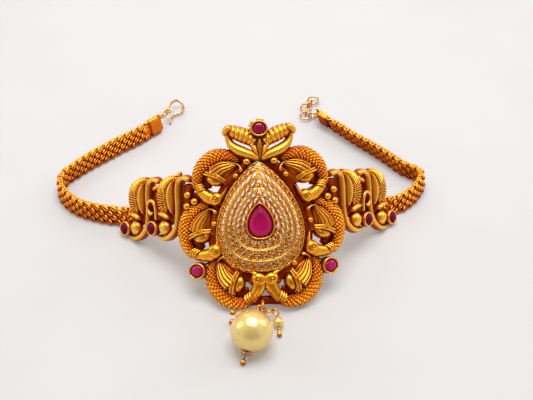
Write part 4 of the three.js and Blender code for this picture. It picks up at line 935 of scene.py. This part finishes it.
def paisley_grids(outer):
    """Every grid of one paisley, where the inner one sits."""
    yield relief(CROOK, [0.85, 1.0, 1.05, 1.05, 1.0, 0.95, 0.9, 0.9, 0.9, 0.85, 0.6],
                 [2.4, 2.7, 2.9, 2.9, 2.8, 2.7, 2.6, 2.6, 2.6, 2.4, 2.0], 110, arch(17), ends=0.03)
    yield relief([[27.6, 13.0], [28.9, 9.6], [29.0, 6.6], [28.4, 2.6]], [0.4, 1.35, 1.4, 0.4],
                 [2.2, 3.1, 3.1, 2.2], 50, arch(15, 0.8), ends=0.1)
    yield milled([[25.6, 13.6], [29.0, 12.6], [31.8, 10.6], [32.7, 7.8], [32.5, 5.2], [31.2, 3.4]],
                 [0.7, 1.5, 2.4, 2.6, 2.3, 1.9], [2.0, 2.8, 3.2, 3.3, 3.2, 2.6], 19, 0.3, 228, arch(15, 0.5))
    yield relief([[29.6, 1.2], [32.0, 2.7], [35.4, 3.1]], [0.6, 1.05, 0.45], [2.6, 3.3, 2.4], 30,
                 arch(13), ends=0.2)
    yield above(globe(1, 26, 12) * [2.4, 2.4, 2.0] + [32.6, -1.3, 1.1])
    if not outer:
        yield tube([[35.6, 1.0, 2.3], [35.3, 4.4, 2.6], [36.3, 6.8, 2.8], [38.3, 6.7, 2.8], [39.0, 4.6, 2.7],
                    [38.0, 3.0, 2.5], [36.9, 3.3, 2.4]], 0.55, 56, 10, ends=0.06)
        yield relief([[33.6, 11.0], [35.2, 10.9], [36.9, 10.0]], [0.5, 0.8, 0.45], [2.6, 3.1, 2.4], 24, arch(13),
                     ends=0.2)


def bead_line(skin, points, radius, pitch, move):
    """A row of small grains along a path."""
    run = np.linalg.norm(np.diff(catmull(points), axis=0), axis=1).sum()
    at, _, _ = path(points, max(2, int(run / pitch)))
    for p in at:
        skin.grid(globe(radius, 8, 5) + p + move)


FAN_EDGE = [[26.0, 14.2, 1.5], [29.4, 13.9, 1.7], [32.4, 12.6, 1.8], [34.6, 10.4, 1.8], [35.2, 7.8, 1.8],
            [34.8, 4.2, 1.6]]
FAN_SEAM = [[27.6, 13.2, 2.5], [30.2, 10.6, 2.95], [30.6, 7.4, 3.0], [30.0, 3.6, 2.8]]
STRIP = [[24.6, 4.4], [31, 4.4], [35.5, 5.0], [42, 4.6], [48.6, 4.8]]
BUD_S, BUD_V, BUD_SEAT, BUD_RIM = 37.2, -1.5, 2.0, 3.35
TABLE_GAP = 0.02  # mm, the lowest that wings and chains come to the table
for side, name in ((1, "right"), (-1, "left")):
    lay = lambda p, side=side: above(on_wing(p, side), TABLE_GAP)
    wing = Skin(lay)
    wing.grid(relief(STRIP, [4.4, 5.0, 5.6, 5.2, 5.2], 1.0, 60, arch(9)))
    for number in (0, 1):
        move = np.array([number * MOTIF_PITCH, 0, 0])
        for one in paisley_grids(number == 1):
            wing.grid(one + move)
        bead_line(wing, FAN_EDGE, 0.3, 0.56, move)
        bead_line(wing, FAN_SEAM, 0.2, 0.4, move)
        s = BUD_S + number * STONE_PITCH
        wing.grid(bezel_wall(s, BUD_V, 1.82, 2.35, 1.2, BUD_RIM, 36), along=True)
        wing.grid(globe(1, 20, 7) * [2.2, 2.2, 0.5] + [s, BUD_V, 1.7])
        foot = relief([[s - 3.2, BUD_V], [s - 0.4, BUD_V]], [1.6, 1.4], 1.7, 10, arch(9), base=0.2)
        wing.grid(foot)
        gem = Skin(lay).grid(round_stone(s, BUD_V, 1.65, BUD_SEAT))
        gem.make(f"wing_stone_{name}_{number + 1}", WINE_RUBY, "wine_ruby", f"wing_ruby_{name}_{number + 1}",
                 smooth=False)
    if name == "left":  # one more ball, over its first paisley
        wing.grid(globe(0.75, 18, 10) + [23.6, 14.7, 2.2])
    wing.make(f"paisley_wing_{name}", PAISLEY_GOLD, "antique_gold", f"wing_{name}")

# %% [markdown]
# ## The woven chains
# Each band is woven of oval links, four rows side by side and staggered like bricks, on both faces. A thin core
# fills the weave, and one more row of links lies over each edge. The band stands on edge on the table, and leans
# as it goes. The foot line and the lean give a frame of three axes at every place, and each link is one small
# ring set on those axes.

# %% Foot lines
CHAIN_HEIGHT, CHAIN_THICK = 6.0, 1.9
CHAINS = dict(
    left=dict(side=-1, lean=[-41, -24, -12, -10, -6, 0, 8, 16, 18, 18, 18],
              plan=[[-44.2, 22.0], [-48.2, 22.9], [-52.9, 24.7], [-57.9, 27.2], [-61.2, 30.0], [-63.7, 33.4],
                    [-65.2, 37.0], [-65.4, 40.6], [-64.0, 43.9], [-61.1, 46.9], [-56.4, 51.4], [-51.4, 55.5],
                    [-46.4, 59.7], [-41.3, 63.5], [-37.6, 66.9], [-35.6, 68.7]]),
    right=dict(side=1, lean=[-41, -22, -12, -8, -6, -8, -12, -16, -19, -21, -23],
               plan=[[44.2, 21.8], [47.6, 23.2], [50.2, 25.4], [52.9, 28.5], [55.5, 33.2], [56.0, 36.2],
                     [54.3, 38.6], [50.6, 41.8], [46.4, 47.9], [42.0, 53.8], [37.4, 59.2], [32.8, 65.4],
                     [30.2, 68.6], [28.6, 70.5]]))


def chain_frames(chain, count):
    """Middle of the band, its way, its up and its left at count even places."""
    start = [on_wing(np.array([s, v, 0.1]), chain["side"]) + FOOTPRINT for s, v in ((50.8, -0.6), (52.2, -0.8))]
    foot = np.vstack([start, [[x, y, 0.35] for x, y in chain["plan"]]])
    at, way, t = path(foot, count)
    out = np.stack([way[:, 1], -way[:, 0], 0 * t], axis=1)
    out *= chain["side"] / np.linalg.norm(out, axis=1, keepdims=True)
    a = np.radians(np.interp(t, np.linspace(0, 1, len(chain["lean"])), chain["lean"]))[:, None]
    up = np.cos(a) * [0, 0, 1] + np.sin(a) * out
    left = np.cross(up, way)
    left /= np.linalg.norm(left, axis=1, keepdims=True)
    length = np.linalg.norm(np.diff(at, axis=0), axis=1).sum()
    return at + up * CHAIN_HEIGHT / 2, way, up, left, length


# %% Links
ROWS, ROW_STEP, LINK_STEP = 4, 1.44, 2.95


def oval_link(half_long, half_tall, wire, around=12, sides=5):
    """An oval ring in the x-y plane with its wire swelling at the two long sides."""
    a = np.arange(around) / around * 2 * np.pi
    b = (np.arange(sides) + 0.5) / sides * 2 * np.pi
    thick = wire * (1 + 0.15 * np.abs(np.sin(a)))[:, None]
    x = (half_long - wire + thick * np.cos(b)[None]) * np.cos(a)[:, None]
    y = (half_tall - wire + thick * np.cos(b)[None]) * np.sin(a)[:, None]
    return np.stack([x, y, 1.05 * thick * np.sin(b)[None]], axis=-1)


CORE_THICK, CORE_TALL = 0.45, 2.55  # half sizes of the core
FACE_OUT, EDGE_OUT = 0.55, 2.72  # how far links lie from the band's middle
LINK_TIP, LINK_ROLL = math.radians(20), math.radians(16)


def weave(chain):
    """The core, the links on both faces (x along the band, tipped, and z out of the face) and those over the
    edges."""
    length = chain_frames(chain, 200)[-1]
    # The links low over the table get darker tones from the builder: painted shade.
    skin = Skin(lambda p: above(lying(p), TABLE_GAP))
    middle, _, up, left, _ = chain_frames(chain, 120)
    a = np.arange(10) / 10 * 2 * np.pi
    thick = (np.sign(np.cos(a)) * np.abs(np.cos(a)) ** 0.6 * CORE_THICK)[None, :, None]
    tall = (np.sin(a) * CORE_TALL)[None, :, None]
    skin.grid(middle[:, None] + thick * left[:, None] + tall * up[:, None])
    number = int(length / LINK_STEP) * 2
    middle, way, up, left, _ = chain_frames(chain, number + 1)
    link = oval_link(1.62, 0.86, 0.40)
    for face in (1, -1):
        for row in range(ROWS):
            height = (row - (ROWS - 1) / 2) * ROW_STEP
            for i in np.arange(row % 2, number + 1, 2)[1 - row % 2:-1]:
                x = math.cos(LINK_TIP) * way[i] + math.sin(LINK_TIP) * up[i]
                y = -math.sin(LINK_TIP) * way[i] + math.cos(LINK_TIP) * up[i]
                out = face * left[i]
                c, k = math.cos(LINK_ROLL), math.sin(LINK_ROLL)
                axes = np.stack([c * x - k * out, y, c * out + k * x])
                skin.grid(link @ axes + middle[i] + up[i] * height + out * FACE_OUT, along=True)
    for edge in (1, -1):
        for i in range(1, number, 2):
            axes = np.stack([way[i], left[i], up[i]])
            skin.grid(oval_link(1.35, 0.80, 0.34) @ axes + middle[i] + edge * up[i] * EDGE_OUT, along=True)
    print(f"chain length {length:.1f} mm, {number} link steps")
    return skin


for name, chain in CHAINS.items():
    weave(chain).make(f"woven_chain_{name}", WOVEN, "chain_gold", f"chain_{name}")

# %% [markdown]
# ## Caps, hook and rings
# A folded plate grips each chain's last links and ends in an eye. On the left a link carries the hook, on the right
# three rings in a row let the armlet be closed wider or tighter. All of it is plain drawn wire, so each is a tube
# along a curve; the rings are flat on the table and the links between them stand on edge.

# %% End caps
EYE_HIGH = dict(left=1.6, right=-1.6)


def folded_box(frame_axes, from_to, near_far, low_high, round_by=0.35, count=12):
    """A plate with rounded edges: a squared ring (a superellipse) swept a short way, drawn in at both ends."""
    middle, way, up, left = frame_axes
    a = np.arange(32) / 32 * 2 * np.pi
    x = np.sign(np.cos(a)) * np.abs(np.cos(a)) ** 0.35
    y = np.sign(np.sin(a)) * np.abs(np.sin(a)) ** 0.35
    d = np.linspace(*from_to, count)
    t = (d - d[0]) / (d[-1] - d[0])
    inset = round_by * (1 - rounded(t, 0.12))
    across = (near_far[0] + near_far[1]) / 2 + x[None] * ((near_far[1] - near_far[0]) / 2 - inset[:, None])
    high = (low_high[0] + low_high[1]) / 2 + y[None] * ((low_high[1] - low_high[0]) / 2 - inset[:, None])
    return middle + d[:, None, None] * way + across[..., None] * left + high[..., None] * up


def ring_at(centre, normal, outer, wire, around=48, sides=12):
    return torus(outer - wire, wire, around, sides) @ facing(normal) + np.asarray(centre, float)


cap_eyes = {}
for name, chain in CHAINS.items():
    middle, way, up, left = (axis[-1] for axis in chain_frames(chain, 60)[:4])
    back = -chain["side"]
    cap = Skin(lying)
    axes = (middle, way, up, left)
    cap.grid(folded_box(axes, (-0.7, 3.6), (-1.2, 1.2), (-2.9, 3.3)))
    cap.grid(folded_box(axes, (3.0, 5.4), sorted((back * 0.45, back * 1.15)), (-2.7, 3.2)))
    cap_eyes[name] = middle + 6.2 * way + back * 0.8 * left + EYE_HIGH[name] * up
    cap.grid(ring_at(cap_eyes[name], up, 1.35, 0.34, 36), along=True)
    cap.make(f"folded_cap_{name}", WOVEN, "chain_gold", f"end_cap_{name}")
    print(name, "eye", cap_eyes[name].round(2))

# %% Hook and links
HOOK = [[-30.3, 79.0, 4.1], [-29.8, 82.1, 3.9], [-28.8, 84.9, 3.4], [-27.6, 86.6, 2.9], [-26.4, 86.6, 2.4],
        [-25.3, 85.3, 2.0], [-24.9, 83.4, 1.7], [-25.6, 81.4, 1.4], [-26.7, 80.4, 1.2], [-28.2, 80.0, 1.0],
        [-29.2, 78.9, 0.9], [-29.6, 77.0, 0.8], [-29.7, 74.8, 0.8]]
HOOK_EYE = np.array([-30.4, 78.3, 4.1])
RINGS = np.array([[20.5, 75.9, 1.4], [21.1, 81.2, 1.4], [24.2, 85.6, 1.4]])


def long_link(start, end, normal, half, wire, count=56, sides=10):
    """A closed link from start to end: an oval a little squarer than an ellipse, in the plane across normal."""
    start, end = np.asarray(start, float), np.asarray(end, float)
    long = (end - start) / 2
    wide = np.cross(normal, long)
    wide *= half / np.linalg.norm(wide)
    u = np.arange(24) / 24 * 2 * np.pi
    c, k = (np.sign(f(u)) * np.abs(f(u)) ** 0.8 for f in (np.cos, np.sin))
    middle = (start + end) / 2
    return tube(middle + c[:, None] * long + k[:, None] * wide, wire, count, sides, closed=True, up=normal)


def upright_link(start, end, half=1.05, wire=0.25):
    way = np.asarray(end) - np.asarray(start)
    return long_link(start, end, np.array([-way[1], way[0], 0.0]), half, wire)


def in_ring(ring, towards, reach=1.05):
    way = (np.asarray(towards) - ring)[:2]
    return ring + np.append(way / np.linalg.norm(way) * reach, 0)


hook = Skin(lying)
hook.grid(tube(HOOK, [0.40, 0.42, 0.42, 0.42, 0.40, 0.38], 130, 12, ends=0.02))
hook.grid(ring_at(HOOK_EYE, [0.2, 0.1, 1], 1.35, 0.36, 40), along=True)
hook.make("hook_wire", PALE, "pale_gold", "hook")
hook_loop = Skin(lying).grid(upright_link(cap_eyes["left"], HOOK_EYE), along=True)
hook_loop.make("hook_loop", WOVEN, "chain_gold", "hook_link")
for i, at in enumerate(RINGS):
    ring = Skin(lying).grid(ring_at(at, [0, -0.12, 1], 2.3, 0.32, 64), along=True)
    ring.make(f"extender_{i + 1}", PALE, "pale_gold", f"extender_ring_{i + 1}")
joins = [(cap_eyes["right"], in_ring(RINGS[0], cap_eyes["right"])),
         (in_ring(RINGS[0], RINGS[1]), in_ring(RINGS[1], RINGS[0])),
         (in_ring(RINGS[1], RINGS[2]), in_ring(RINGS[2], RINGS[1]))]
for i, (start, end) in enumerate(joins):
    wire_gold = (PALE, "pale_gold") if i == 0 else (WOVEN, "chain_gold")
    joint = Skin(lying).grid(upright_link(start, end, wire=0.27), along=True)
    joint.make(f"extender_join_{i + 1}", *wire_gold, f"extender_link_{i + 1}")

# %% [markdown]
# ## The pearl drops
# Two jump rings hang from the lug. Each pearl is drilled and rides on a headpin whose top is bent into a loop, with
# a gold ball as its head. Beads are turned shapes: a profile of radius and height, carried round the pin's axis.

# %% Beads and pins
JUMP_RADIUS, JUMP_WIRE = 1.46, 0.24
JUMPS = {1: np.array([-1.5, -25.95, 3.6]), 2: np.array([0.65, -26.25, 3.6])}
BIG_AT, BIG_WAY = np.array([-4.7, -29.65, 6.05]), np.array([0.32, 0.75, 0.58])
BIG_WAY /= np.linalg.norm(BIG_WAY)
SMALL = [dict(ball=[3.24, -27.0, 0.9], pearl=[3.2, -23.2, 1.65], ring=2, angle=0),
         dict(ball=[-9.9, -21.6, 4.9], pearl=[-7.5, -22.5, 4.3], ring=1, angle=232),
         dict(ball=[-10.2, -21.5, 0.95], pearl=[-6.6, -20.9, 1.65], ring=1, angle=188)]


def turned(profile, at, way, sides=48):
    """A closed profile of (radius, height) turned round the axis way through at."""
    axes = facing(way)
    profile = np.asarray(profile, float)
    a = np.arange(sides)[:, None] / sides * 2 * np.pi
    r, h = profile[None, :, 0], profile[None, :, 1] + 0 * a
    return np.stack([r * np.cos(a), r * np.sin(a), h], axis=-1) @ axes + np.asarray(at, float)


def bead_profile(radius, long, hole, count=30):
    """An arc from one mouth of the hole to the other; closing it makes the hole's wall."""
    first = math.asin(hole / radius)
    a = np.linspace(first, math.pi - first, count)
    return np.stack([radius * np.sin(a), long * np.cos(a)], axis=1)


def on_jump(ring, angle):
    c, k = JUMP_RADIUS * math.cos(math.radians(angle)), JUMP_RADIUS * math.sin(math.radians(angle))
    return JUMPS[ring] + (np.array([c, k, 0]) if ring == 1 else np.array([c, 0, k]))


def drop_loop(ring, angle, top):
    """A small closed loop from a jump ring, at an angle on it, to a pin's top."""
    here, near = (on_arm(on_jump(ring, a)) + FOOTPRINT for a in (angle, angle + 8))
    long = (top - here) / np.linalg.norm(top - here)
    tangent = (near - here) / np.linalg.norm(near - here)
    normal = tangent - tangent @ long * long
    return long_link(here - 0.76 * long, top, normal, 0.8, 0.2, 48, 9)


jump_1 = Skin().grid(torus(JUMP_RADIUS, JUMP_WIRE, 48, 10) + JUMPS[1], along=True)
jump_1.make("drop_ring_front", ANTIQUE, "antique_gold", "jump_ring_1")
jump_2 = Skin().grid(torus(JUMP_RADIUS, JUMP_WIRE, 48, 10)[..., [0, 2, 1]] + JUMPS[2], along=True)
jump_2.make("drop_ring_side", ANTIQUE, "antique_gold", "jump_ring_2")

big = Skin(lying).grid(turned(bead_profile(6.0, 6.0, 0.5, 64), BIG_AT, BIG_WAY, 96), along=True)
big.make("golden_pearl", GOLDEN_PEARL, "pearl", "large_pearl")
big_pin = Skin(lying)
top = BIG_AT + 7.0 * BIG_WAY
loop_top = np.array([-2.0, -22.0, 5.4])
big_pin.grid(tube([BIG_AT - 8.8 * BIG_WAY, BIG_AT, top], 0.22, 12, 8))
big_pin.grid(tube([top - 0.4 * BIG_WAY, top + 0.3 * BIG_WAY, [-2.3, -23.6, 9.8], [-2.1, -22.6, 7.6],
                   [-1.95, -21.8, 5.15]], 0.25, 50, 9))
big_pin.grid(drop_loop(1, 284, loop_top), along=True)
big_pin.grid(turned(bead_profile(0.85, 0.85, 0.05, 14), BIG_AT - 8.9 * BIG_WAY, BIG_WAY, 24), along=True)
big_pin.make("golden_pearl_pin", ANTIQUE, "antique_gold", "large_pin")
disc = [[0.5, 0.0], [1.75, 0.0], [1.9, 0.12], [1.9, 0.28], [1.75, 0.4], [0.5, 0.4]]
washer = Skin(lying).grid(turned(disc, BIG_AT - 6.6 * BIG_WAY, BIG_WAY), along=True)
washer.make("pearl_washer", ANTIQUE, "antique_gold", "pearl_disc")
bead = turned(bead_profile(1.15, 0.5, 0.4, 14), BIG_AT - 7.35 * BIG_WAY, BIG_WAY, 32)
stopper = Skin(lying).grid(bead, along=True)
stopper.make("clear_stopper", CLEAR, "clear_bead", "stopper_bead")

for i, drop_ in enumerate(SMALL):
    pearl, end = np.array(drop_["pearl"]), np.array(drop_["ball"])
    way = (pearl - end) / np.linalg.norm(pearl - end)
    seed = Skin(lying).grid(turned(bead_profile(1.5, 1.65, 0.4, 26), pearl, way, 40), along=True)
    seed.make(f"seed_pearl_{i + 1}", SEED_PEARL, "pearl", f"small_pearl_{i + 1}")
    pin = Skin(lying)
    pin.grid(tube([end, pearl, pearl + 2.3 * way], 0.2, 12, 8))
    pin.grid(drop_loop(drop_["ring"], drop_["angle"], pearl + 2.3 * way), along=True)
    pin.grid(turned(bead_profile(0.75, 0.8, 0.05, 14), end, way, 24), along=True)
    pin.grid(turned(bead_profile(0.48, 0.42, 0.05, 10), pearl - 2.25 * way, way, 20), along=True)
    pin.make(f"seed_pin_{i + 1}", ANTIQUE, "antique_gold", f"small_pin_{i + 1}")

# %% [markdown]
# ## Table, light and camera
# A pale sheet that gives back a little warm light, with a large soft light above it, one behind and a fill on each
# side. Gold shows what stands round it, so the pale surround has a brown patch high up in front, which gives the
# metal its deep tones.

# %% Table
bpy.ops.mesh.primitive_plane_add(size=3.0, location=(0, 0, 0))
table = bpy.context.object
table.name = "table"
paper, nodes, links, shader, place = new_finish("pale_paper")
tone = ranged(nodes, links, noise(nodes, links, place, 40.0, 2.0), 0.3, 0.7, 0.0, 1.0)
links.new(mixed(nodes, links, tone, (0.465, 0.475, 0.485), (0.485, 0.495, 0.505)), shader.inputs["Base Color"])
shader.inputs["Roughness"].default_value = 0.7
shader.inputs["Emission Color"].default_value = (1.0, 0.88, 0.78, 1.0)
shader.inputs["Emission Strength"].default_value = 0.17
table.data.materials.append(paper)
table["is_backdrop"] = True

# %% Light
world = bpy.data.worlds.new("surround")
bpy.context.scene.world = world
world.use_nodes = True
nodes, links = world.node_tree.nodes, world.node_tree.links
look = nodes.new("ShaderNodeTexCoord").outputs["Generated"]
towards = nodes.new("ShaderNodeVectorMath")
towards.operation = "DOT_PRODUCT"
towards.inputs[1].default_value = Vector((0.0, -0.80, 0.60)).normalized()
links.new(look, towards.inputs[0])
room = ranged(nodes, links, towards.outputs["Value"], 0.62, 0.9, 0.0, 1.0)
back = nodes["Background"]
links.new(mixed(nodes, links, room, (1.0, 0.89, 0.79), (0.34, 0.24, 0.15)), back.inputs["Color"])
back.inputs["Strength"].default_value = 0.6


def soft_light(name, at, towards, size, power, colour=(1.0, 1.0, 1.0)):
    light = bpy.data.lights.new(name, "AREA")
    light.shape = "RECTANGLE"
    light.size, light.size_y = size
    light.energy, light.color = power, colour
    lamp = bpy.data.objects.new(name, light)
    lamp.location = at
    lamp.rotation_euler = (Vector(towards) - Vector(at)).to_track_quat("-Z", "Y").to_euler()
    bpy.context.scene.collection.objects.link(lamp)


soft_light("top", (0.03, 0.06, 0.55), (0, 0, 0), (0.42, 0.36), 2.8, (0.97, 1.0, 1.04))
soft_light("behind", (0.0, 0.60, 0.35), (0, 0.03, 0), (0.5, 0.2), 0.9)
soft_light("left", (-0.55, 0.1, 0.30), (0, 0, 0.01), (0.25, 0.35), 0.5)
soft_light("right", (0.55, 0.15, 0.35), (0, 0, 0.01), (0.25, 0.35), 0.6)

# %% Camera
camera = bpy.data.cameras.new("camera")
camera.lens, camera.sensor_width = 60.06, 36.0
camera.clip_start, camera.clip_end = 0.01, 10.0
seer = bpy.data.objects.new("camera", camera)
forward = Vector((0.04547, 0.74526, -0.66522)).normalized()
right = forward.cross(Vector((0, 0, 1))).normalized()
turn = Matrix((right, right.cross(forward), -forward)).transposed().to_4x4()
turn = turn @ Matrix.Rotation(math.radians(-0.06), 4, "Z")
stand = np.array([-10.36, -189.91, 197.59])  # mm, before the footprint's middle is taken off
seer.matrix_world = Matrix.Translation(Vector(stand - FOOTPRINT) / 1000) @ turn
bpy.context.scene.collection.objects.link(seer)
bpy.context.scene.camera = seer
bpy.context.scene.view_settings.view_transform = "Standard"

# %% Sizes, then the last line
new_box = [list(corner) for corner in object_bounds()]
print("scene box in mm:", [[round(c * 1000, 1) for c in corner] for corner in new_box])
